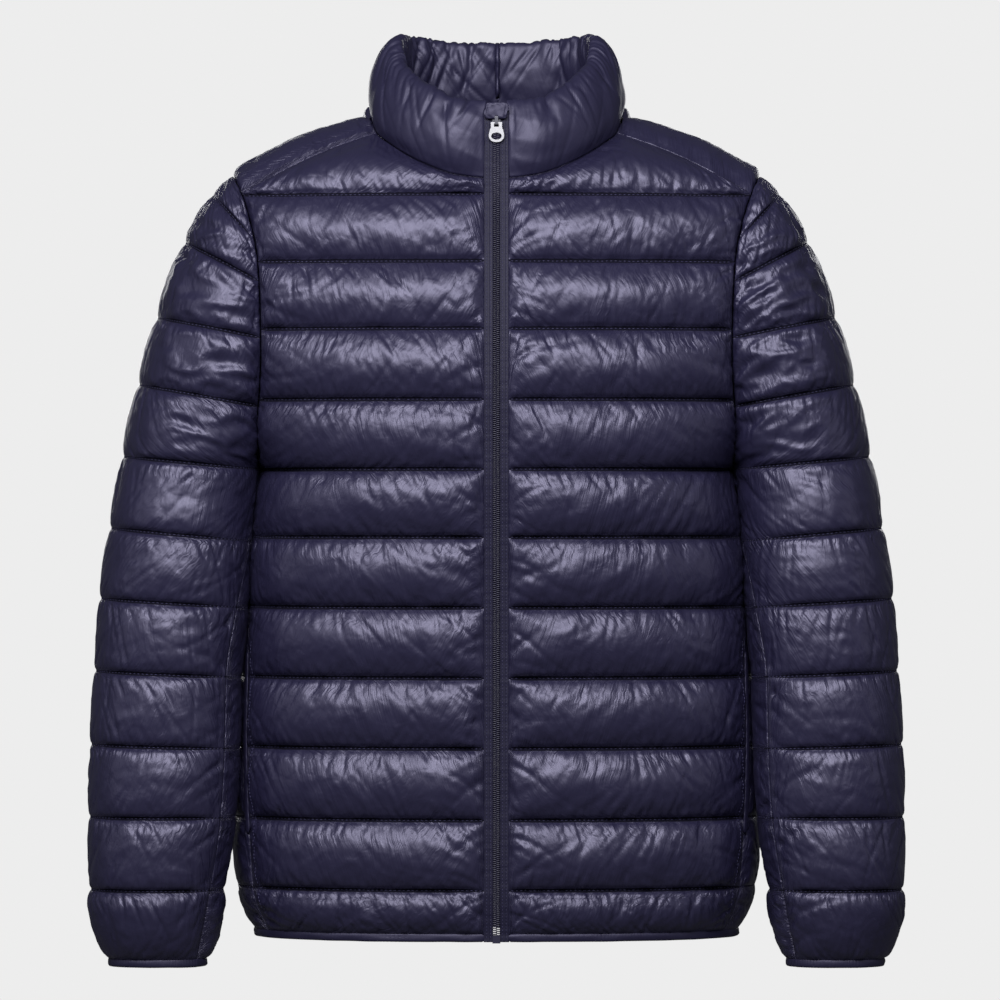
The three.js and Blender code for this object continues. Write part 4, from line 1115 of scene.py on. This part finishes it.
def zip_frames(z):
    """Places on the zip's line with the direction along it and the direction out of it."""
    along = unit(zip_line(z + 3) - zip_line(z - 3))
    out = np.stack([0 * z, -along[:, 2], along[:, 1]], -1)
    return zip_line(z), along, out


def tape(side):
    """Woven strip 2 mm thick with two sewn furrows, its outer edge under the quilted panel."""
    z = np.arange(ZIP_FOOT + 1, ZIP_TOP, 1.6)
    at, _, out = zip_frames(z)
    inner, outer = CHAIN_HALF_WIDTH - 0.6, ZIP_HALF_OPENING + 1.2
    across = inner + (outer - inner) * np.array([0, 0.06, 0.2, 0.29, 0.38, 0.6, 0.69, 0.78, 0.94, 1, 1, 0])
    height = np.array([0.1, 0.6, 0.7, -0.1, 0.75, 0.8, -0.1, 0.75, 0.5, -0.2, -1.4, -1.4])
    wave = 0.22 * np.sin(z / 1.3 + 2 * np.sin(z / 11)) * np.sin(z / 6.1 + side)
    lift = height[None] + wave[:, None] * np.where(height > 0, 1, 0)
    grid = at[:, None] + out[:, None] * lift[..., None]
    grid[..., 0] += side * across
    return grid


COIL_PITCH = 1.65


def coil(side):
    """One low loop for each turn of the coil: four squashed rings of six points."""
    z = np.arange(ZIP_FOOT + 6, -10.5, COIL_PITCH) + (COIL_PITCH / 2 if side > 0 else 0)
    at, along, out = zip_frames(z)
    turn = np.linspace(0, 2 * np.pi, 6, endpoint=False)
    levels = np.array([-1, -0.45, 0.45, 1])
    swell = np.sqrt(1 - (levels * 0.93) ** 2)
    wide = (np.cos(turn)[None, :] * swell[:, None]) * 0.62
    high = (np.sin(turn)[None, :] * swell[:, None]) * 0.85
    far = np.broadcast_to(levels[:, None] * 1.9, wide.shape)
    local = np.stack([far + side * 1.4, wide, high], -1).reshape(-1, 3)
    points = at[:, None] + along[:, None] * local[None, :, 1:2] + out[:, None] * (0.75 + local[None, :, 2:])
    points[..., 0] += local[None, :, 0]
    index = np.arange(24).reshape(4, 6)
    wrapped = np.concatenate([index, index[:, :1]], 1)
    quads = np.stack([wrapped[:-1, :-1], wrapped[1:, :-1], wrapped[1:, 1:], wrapped[:-1, 1:]], -1)
    caps = np.concatenate([
        np.stack([0 * turn[1:-1] + 0, np.arange(1, 5), np.arange(2, 6)], -1),
        np.stack([0 * turn[1:-1] + 18, np.arange(20, 24), np.arange(19, 23)], -1),
    ]).astype(int)
    shift = (np.arange(len(z)) * 24)[:, None, None]
    quads = (quads.reshape(-1, 4)[None] + shift).reshape(-1, 4)
    return points.reshape(-1, 3), quads, (caps[None] + shift).reshape(-1, 3)


GUARD_HALF, GUARD_HEIGHT, GUARD_THICKNESS, GUARD_MIDDLE = 10.0, 14.0, 2.2, 2.6
POCKET_TOP, POCKET_BOTTOM = -454.0, -606.0


def guard():
    """Soft tab over the zip's top end: a rounded section carried across the zip."""
    x = np.linspace(-1, 1, 49)
    angle = np.linspace(0, 2 * np.pi, 40, endpoint=False)
    grow = (1 - np.abs(x[:, None]) ** 7) ** (1 / 3)
    cosine, sine = np.cos(angle)[None], np.sin(angle)[None]
    upward = np.sign(cosine) * np.abs(cosine) ** 0.45 * GUARD_HEIGHT / 2
    forward = np.sign(sine) * np.abs(sine) ** 0.8 * GUARD_THICKNESS / 2
    pinch = 1 - 0.45 * bell(np.abs(x[:, None] * GUARD_HALF), GUARD_HALF - 2.4, 0.8)
    at, along, out = zip_frames(np.full((1,), GUARD_MIDDLE))
    grid = at + along * (upward * grow)[..., None] + out * (3.5 + forward * grow * pinch)[..., None]
    folds = 0.28 * np.sin(upward / 0.9 + 3 * x[:, None]) * np.sin(7 * x[:, None] + upward / 4)
    grid += out * (folds * np.clip(forward, 0, 1))[..., None]
    grid[..., 0] = (x * GUARD_HALF)[:, None] + 0.7 * np.sin(upward / 3)
    return grid


def pocket_welt():
    """Folded strip over the side seam: a flat rounded section with small waves in its edge."""
    side_edge = front_plain[:, -1]
    z = np.linspace(POCKET_TOP, POCKET_BOTTOM, 140)
    order = np.argsort(side_edge[:, 2])
    at = np.stack([np.interp(z, side_edge[order, 2], side_edge[order, k]) for k in range(3)], -1)
    slope = np.gradient(at, axis=0)
    normal = grid_normals(front_plain, front_out)[:, -1]
    out = unit(np.stack([np.interp(z, side_edge[order, 2], normal[order, k]) for k in range(3)], -1))
    across = unit(np.cross(slope, out))
    angle = np.linspace(0, 2 * np.pi, 14, endpoint=False)
    wide = np.sign(np.cos(angle)) * np.abs(np.cos(angle)) ** 0.6 * 2.9
    high = np.sign(np.sin(angle)) * np.abs(np.sin(angle)) ** 0.8 * 1.0
    end = np.clip(np.minimum(z - POCKET_BOTTOM, POCKET_TOP - z) / 2.5, 0.35, 1) ** 0.5
    wave = 1 + 0.12 * np.sin(z / 1.9) * np.sin(z / 7.3)
    grid = at[:, None] + across[:, None] * (wide[None] * (end * wave)[:, None])[..., None]
    return grid + out[:, None] * (1.6 + high[None] * end[:, None])[..., None]


pieces["zip_guard"] = closed_tube("zip_guard_tab", guard())
for side in ("left", "right"):
    grid = pocket_welt()
    grid = mirror(grid) if side == "right" else grid
    pieces["pocket_welt_" + side] = closed_tube("pocket_welt_" + side + "_folded", grid)
for side, sign in (("left", 1), ("right", -1)):
    pieces["zip_tape_" + side] = closed_tube("zip_tape_" + side + "_woven", tape(sign))
    points, quads, caps = coil(sign)
    pieces["coil_" + side] = mesh_object("zip_coil_" + side, points, quads, caps)
print("coil turns on each side", len(caps) // 8)

# %% [markdown]
# Last comes the thread itself. A lockstitch shows as a short loaf of thread on the cloth
# between two needle holes, STITCH_PITCH millimetres apart on the quilt lines. The thread is one
# shade lighter than the nylon, and the cloth beside it is painted near-black as the seam's
# shade, so a row reads as a dark valley with small light specks in it.

# %% Stitches along the quilt lines, the pockets and the tapes


def along_row(points, normals, pitch):
    """Places, directions and normals at even distances along a row of points."""
    steps = np.linalg.norm(np.diff(points, axis=0), axis=-1)
    far = np.concatenate([[0], np.cumsum(steps)])
    wanted = np.arange(pitch, far[-1] - pitch, pitch)
    both = np.concatenate([points, normals], 1)
    found = np.stack([np.interp(wanted, far, column) for column in both.T], -1)
    ahead = unit(np.gradient(found[:, :3], axis=0))
    return found[:, :3], ahead, unit(found[:, 3:])


def stitches(name, rows, length=2.3, width=0.62, mirrored=False):
    """One loaf for each stitch: three rings of five points that close in toward the ends."""
    places, ahead, outward = (np.concatenate([row[k] for row in rows]) for k in range(3))
    sideways = unit(np.cross(outward, ahead))
    share = np.array([-1, 0, 1])
    girth = np.array([0.45, 1, 0.45])[:, None] * width / 2
    turn = np.linspace(0, 2 * np.pi, 5, endpoint=False)
    local = np.stack([
        np.broadcast_to(share[:, None] * length / 2, (3, 5)),
        girth * np.cos(turn),
        girth * np.sin(turn) + width * 0.25,
    ], -1).reshape(-1, 3)
    frames = np.stack([ahead, sideways, outward], 1)
    points = (places[:, None] + local @ frames).reshape(-1, 3)
    index = np.arange(15).reshape(3, 5)
    wrapped = np.concatenate([index, index[:, :1]], 1)
    corners = [wrapped[:-1, :-1], wrapped[1:, :-1], wrapped[1:, 1:], wrapped[:-1, 1:]]
    quads = np.stack(corners, -1).reshape(-1, 4)
    fan = np.stack([0 * np.arange(1, 4), np.arange(1, 4), np.arange(2, 5)], -1)
    caps = np.concatenate([fan, fan[:, ::-1] + 10])
    a, b, c = (points[quads[:, k]] for k in range(3))
    volume = (np.cross(b - a, c - a) * (a - points[:15].mean(0))).sum()
    if (volume < 0) != mirrored:
        quads, caps = quads[:, ::-1], caps[:, ::-1]
    shift = (np.arange(len(places)) * 15)[:, None, None]
    quads = (quads[None] + shift).reshape(-1, 4)
    caps = (caps[None] + shift).reshape(-1, 3)
    return mesh_object(name, mirror(points) if mirrored else points, quads, caps)


STITCH_PITCH = 3.8
for name, grid in fine.items():
    outward = PLAIN[name.split("_")[0]][1]
    normals = grid_normals(grid, outward)
    rows = [
        along_row(grid[k], normals[k], STITCH_PITCH)
        for k in range(FINE_ROWS, len(grid) - 1, FINE_ROWS)
    ]
    if name.startswith("front"):
        edge = -7
        below = (grid[:, edge, 2] < -440) & (grid[:, edge, 2] > -680)
        rows.append(along_row(grid[below, edge], normals[below, edge], 3.0))
    pieces["stitching_" + name] = stitches(
        "stitching_" + name, rows, mirrored=name.endswith("right"))
for side, sign in (("left", 1), ("right", -1)):
    z = np.arange(ZIP_FOOT + 2, ZIP_TOP - 8, 0.8)
    at, _, out = zip_frames(z)
    rows = []
    for across, height in ((5.0, 0.1), (8.15, 0.1)):
        place = at + out * height
        place[:, 0] += sign * across
        rows.append(along_row(place, out, 2.9))
    pieces["stitching_zip_" + side] = stitches("stitching_zip_" + side, rows, 1.9, 0.5)
print({name: len(piece.data.polygons) for name, piece in pieces.items() if "stitching" in name})

# %% [markdown]
# Everything that shows is one of a few materials: the glossy nylon, the same nylon as a
# binding, woven tape, polyamide coil, thread, two metals and a near-black painted shade
# that stands in for the shadow in the valley beside each row of thread. Each pattern comes
# from the object's own coordinates, so it stays the same from every side.

# %% Small helpers for shader trees


def new_material(name):
    """Material with a Principled shader; returns it with its tree and its shader."""
    material = bpy.data.materials.new(name)
    material.use_nodes = True
    tree = material.node_tree
    shader = next(node for node in tree.nodes if node.type == "BSDF_PRINCIPLED")
    return material, tree, shader


def colour(r, g, b):
    """Linear colour of an sRGB colour given from 0 to 255."""
    channels = np.array([r, g, b]) / 255
    low, high = channels / 12.92, ((channels + 0.055) / 1.055) ** 2.4
    return (*np.where(channels <= 0.04045, low, high).tolist(), 1.0)


def add(tree, kind, **values):
    """Node of one kind with its inputs set by name and its properties by lower case names."""
    node = tree.nodes.new(kind)
    for key, value in values.items():
        if key.islower():
            setattr(node, key, value)
        else:
            node.inputs[key.replace("_", " ")].default_value = value
    return node


def streak_field(group, uv, lean):
    """Noise stretched across the tubes and leaning by an angle: 3 mm wide, 40 mm long."""
    turn = add(group, "ShaderNodeMapping", Rotation=(0.0, 0.0, lean))
    stretch = add(group, "ShaderNodeMapping", Scale=(330.0, 25.0, 1.0))
    streaks = add(group, "ShaderNodeTexNoise", Scale=1.0, Detail=2.0, Roughness=0.55, Distortion=0.15)
    group.links.new(uv, turn.inputs["Vector"])
    group.links.new(turn.outputs["Vector"], stretch.inputs["Vector"])
    group.links.new(stretch.outputs["Vector"], streaks.inputs["Vector"])
    return streaks.outputs["Fac"]


def crumple_group():
    """Soft crumples everywhere, and fine streaks that lean one way here, the other there."""
    group = bpy.data.node_groups.new("nylon crumple", "ShaderNodeTree")
    group.interface.new_socket("Height", in_out="OUTPUT", socket_type="NodeSocketFloat")
    group.interface.new_socket("Roughness", in_out="OUTPUT", socket_type="NodeSocketFloat")
    group.interface.new_socket("Dull", in_out="INPUT", socket_type="NodeSocketFloat")
    link = group.links.new
    place = add(group, "ShaderNodeTexCoord")
    cloth_place = add(group, "ShaderNodeUVMap", uv_map="cloth")
    one_way = streak_field(group, cloth_place.outputs["UV"], 0.42)
    other_way = streak_field(group, cloth_place.outputs["UV"], -0.34)
    broad = add(group, "ShaderNodeTexNoise", Scale=70.0, Detail=2.0, Roughness=0.45, Distortion=0.4)
    patches = add(group, "ShaderNodeTexNoise", Scale=16.0, Detail=1.0)
    choose = add(group, "ShaderNodeMapRange", From_Min=0.42, From_Max=0.58)
    streaks = add(group, "ShaderNodeMix")
    total = add(group, "ShaderNodeMath", operation="MULTIPLY_ADD")
    gathers = add(group, "ShaderNodeAttribute", attribute_name="gathers")
    strength = add(group, "ShaderNodeMapRange", To_Min=0.35, To_Max=2.3)
    dull = add(group, "ShaderNodeMapRange", To_Min=0.36, To_Max=0.5)
    output = add(group, "NodeGroupOutput")
    link(place.outputs["Object"], broad.inputs["Vector"])
    link(place.outputs["Object"], patches.inputs["Vector"])
    link(patches.outputs["Fac"], choose.inputs["Value"])
    link(choose.outputs["Result"], streaks.inputs[0])
    link(one_way, streaks.inputs[2])
    link(other_way, streaks.inputs[3])
    link(gathers.outputs["Fac"], strength.inputs["Value"])
    link(streaks.outputs[0], total.inputs[0])
    link(strength.outputs["Result"], total.inputs[1])
    link(broad.outputs["Fac"], total.inputs[2])
    link(total.outputs[0], output.inputs["Height"])
    link(broad.outputs["Fac"], dull.inputs["Value"])
    duller = add(group, "ShaderNodeMath", operation="ADD")
    given = add(group, "NodeGroupInput")
    link(dull.outputs["Result"], duller.inputs[0])
    link(given.outputs["Dull"], duller.inputs[1])
    link(duller.outputs[0], output.inputs["Roughness"])
    return group


CRUMPLE = crumple_group()


def nylon(name, base, bump, gloss=0.75, dull=0.0):
    """Glossy downproof nylon: dark, evenly dyed, with soft crumples in its highlights."""
    material, tree, shader = new_material(name)
    shader.inputs["Base Color"].default_value = base
    shader.inputs["Specular IOR Level"].default_value = gloss
    shader.inputs["Specular Tint"].default_value = (0.77, 0.74, 1.0, 1.0)
    relief = tree.nodes.new("ShaderNodeGroup")
    relief.node_tree = CRUMPLE
    relief.inputs["Dull"].default_value = dull
    raised = add(tree, "ShaderNodeBump", Strength=1.0, Distance=bump)
    tree.links.new(relief.outputs["Height"], raised.inputs["Height"])
    tree.links.new(relief.outputs["Roughness"], shader.inputs["Roughness"])
    tree.links.new(raised.outputs["Normal"], shader.inputs["Normal"])
    return material


def plain_material(name, base, roughness, metallic=0.0, grain=900.0, bump=0.0001):
    """One colour with a fine grain raised by a noise."""
    material, tree, shader = new_material(name)
    shader.inputs["Base Color"].default_value = base
    shader.inputs["Roughness"].default_value = roughness
    shader.inputs["Metallic"].default_value = metallic
    place = add(tree, "ShaderNodeTexCoord")
    noise = add(tree, "ShaderNodeTexNoise", Scale=grain, Detail=2.0)
    raised = add(tree, "ShaderNodeBump", Strength=0.5, Distance=bump)
    tree.links.new(place.outputs["Object"], noise.inputs["Vector"])
    tree.links.new(noise.outputs["Fac"], raised.inputs["Height"])
    tree.links.new(raised.outputs["Normal"], shader.inputs["Normal"])
    return material


NYLON = nylon("navy nylon", colour(28, 26, 50), 0.0009)
COLLAR_NYLON = nylon("smooth collar nylon", colour(28, 26, 50), 0.0005, 0.6, 0.06)
BINDING = nylon("navy binding", colour(26, 24, 47), 0.0005, 0.5, 0.08)
TAPE = plain_material("woven tape", colour(25, 23, 46), 0.6, grain=1500.0, bump=0.0003)
TAPE.node_tree.nodes["Principled BSDF"].inputs["Specular IOR Level"].default_value = 0.25
COIL = plain_material("polyamide coil", colour(34, 32, 54), 0.4)
THREAD = plain_material("navy thread", colour(50, 47, 84), 0.5)
# Painted shade: a near-black, dull colour on the cloth beside each row of thread stands in for the shadow
# that falls in the seam's valley.
SEAM_SHADE_PAINT = plain_material("cloth in the seam's shadow", colour(13, 12, 25), 0.9)
SEAM_SHADE_PAINT.node_tree.nodes["Principled BSDF"].inputs["Specular IOR Level"].default_value = 0.1
STEEL = plain_material("bright zip metal", colour(128, 128, 132), 0.42, 1.0, 600.0, 0.00004)
DARK_STEEL = plain_material("grey zip metal", colour(66, 66, 72), 0.45, 1.0, 600.0, 0.00004)
print("materials:", len(bpy.data.materials))

# %% [markdown]
# Frame pieces that are drawn again in cloth are replaced by their new ones. The slider, its
# bail, the pull tab and the zip box keep their frame shapes.

# %% Give every piece its material, body and what it replaces
for name, piece in pieces.items():
    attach(piece, "jacket")
    if name.startswith("coil"):
        piece.data.materials.append(COIL)
    elif name.startswith("stitching"):
        piece.data.materials.append(THREAD)
    elif name.startswith("zip_tape"):
        piece.data.materials.append(TAPE)
        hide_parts(name)
    elif "binding" in name:
        piece.data.materials.append(BINDING)
        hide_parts(name)
    elif name.startswith(("pocket_welt", "zip_guard")):
        piece.data.materials.append(BINDING)
        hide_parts(name)
    else:
        piece.data.materials.append(COLLAR_NYLON if name == "collar" else NYLON)
        # Second material of each quilted panel: the painted seam shade on the faces beside the thread.
        if name != "collar":
            piece.data.materials.append(SEAM_SHADE_PAINT)
        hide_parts(name)
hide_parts("zip_chain")

FRAME_MATERIALS = {
    "zip_slider": DARK_STEEL, "zip_bail": DARK_STEEL, "zip_pull": STEEL, "zip_box": COIL,
}
for node, material in FRAME_MATERIALS.items():
    for piece in bpy.data.objects:
        if piece.type == "MESH" and piece.name.split(".")[0] == node:
            piece.data.materials.clear()
            piece.data.materials.append(material)
            print("frame piece", piece.name)

# %% [markdown]
# Studio: a pale room without edges. A broad soft light hangs above and in front, as the
# upper side of each tube is the brighter one, and weaker ones fill both sides.

# %% Floor, lights, background and camera


def soft_light(name, place, aim, size, watts):
    """Square area light turned toward the aim."""
    lamp = bpy.data.lights.new(name, "AREA")
    lamp.shape = "RECTANGLE"
    lamp.size, lamp.size_y = size
    lamp.energy = watts
    light = bpy.data.objects.new(name, lamp)
    light.location = place
    direction = np.array(aim) - np.array(place)
    flat = math.hypot(direction[0], direction[1])
    light.rotation_euler = (math.pi / 2 + math.atan2(direction[2], flat), 0,
                            math.atan2(-direction[0], direction[1]))
    bpy.context.scene.collection.objects.link(light)
    return light


CENTRE = (0.0, 0.0, -0.33)
lights = [
    soft_light("key", (-0.3, -2.2, 1.15), CENTRE, (2.8, 1.0), 115),
    soft_light("left fill", (-2.4, -0.9, 0.3), CENTRE, (1.0, 1.8), 5),
    soft_light("right fill", (2.4, -0.9, 0.3), CENTRE, (1.0, 1.8), 4),
    soft_light("back light", (0.0, 2.4, 0.25), CENTRE, (2.4, 0.9), 30),
]
floor_mesh = bpy.data.meshes.new("studio floor")
floor_mesh.from_pydata([(-3, -3, -1.25), (3, -3, -1.25), (3, 3, -1.25), (-3, 3, -1.25)], [], [(0, 1, 2, 3)])
floor = bpy.data.objects.new("studio floor", floor_mesh)
bpy.context.scene.collection.objects.link(floor)
floor_mesh.materials.append(plain_material("pale floor", colour(88, 88, 92), 0.85))

world = bpy.data.worlds.new("studio")
bpy.context.scene.world = world
world.use_nodes = True
tree = world.node_tree
tree.nodes.clear()
seen = add(tree, "ShaderNodeBackground", Color=colour(237, 237, 237), Strength=1.0)
ambient = add(tree, "ShaderNodeBackground", Color=colour(225, 228, 236), Strength=0.12)
path = add(tree, "ShaderNodeLightPath")
mix = add(tree, "ShaderNodeMixShader")
output = add(tree, "ShaderNodeOutputWorld")
tree.links.new(path.outputs["Is Camera Ray"], mix.inputs["Fac"])
tree.links.new(ambient.outputs[0], mix.inputs[1])
tree.links.new(seen.outputs[0], mix.inputs[2])
tree.links.new(mix.outputs[0], output.inputs["Surface"])

camera_data = bpy.data.cameras.new("camera")
camera_data.sensor_width = 36
camera_data.lens = 36 * 6.08 / 0.85
camera = bpy.data.objects.new("camera", camera_data)
camera.location = (0.003, -6.1, -0.3247)
camera.rotation_euler = (math.pi / 2, 0, 0)
bpy.context.scene.collection.objects.link(camera)
bpy.context.scene.camera = camera
bpy.context.scene.view_settings.view_transform = "Standard"
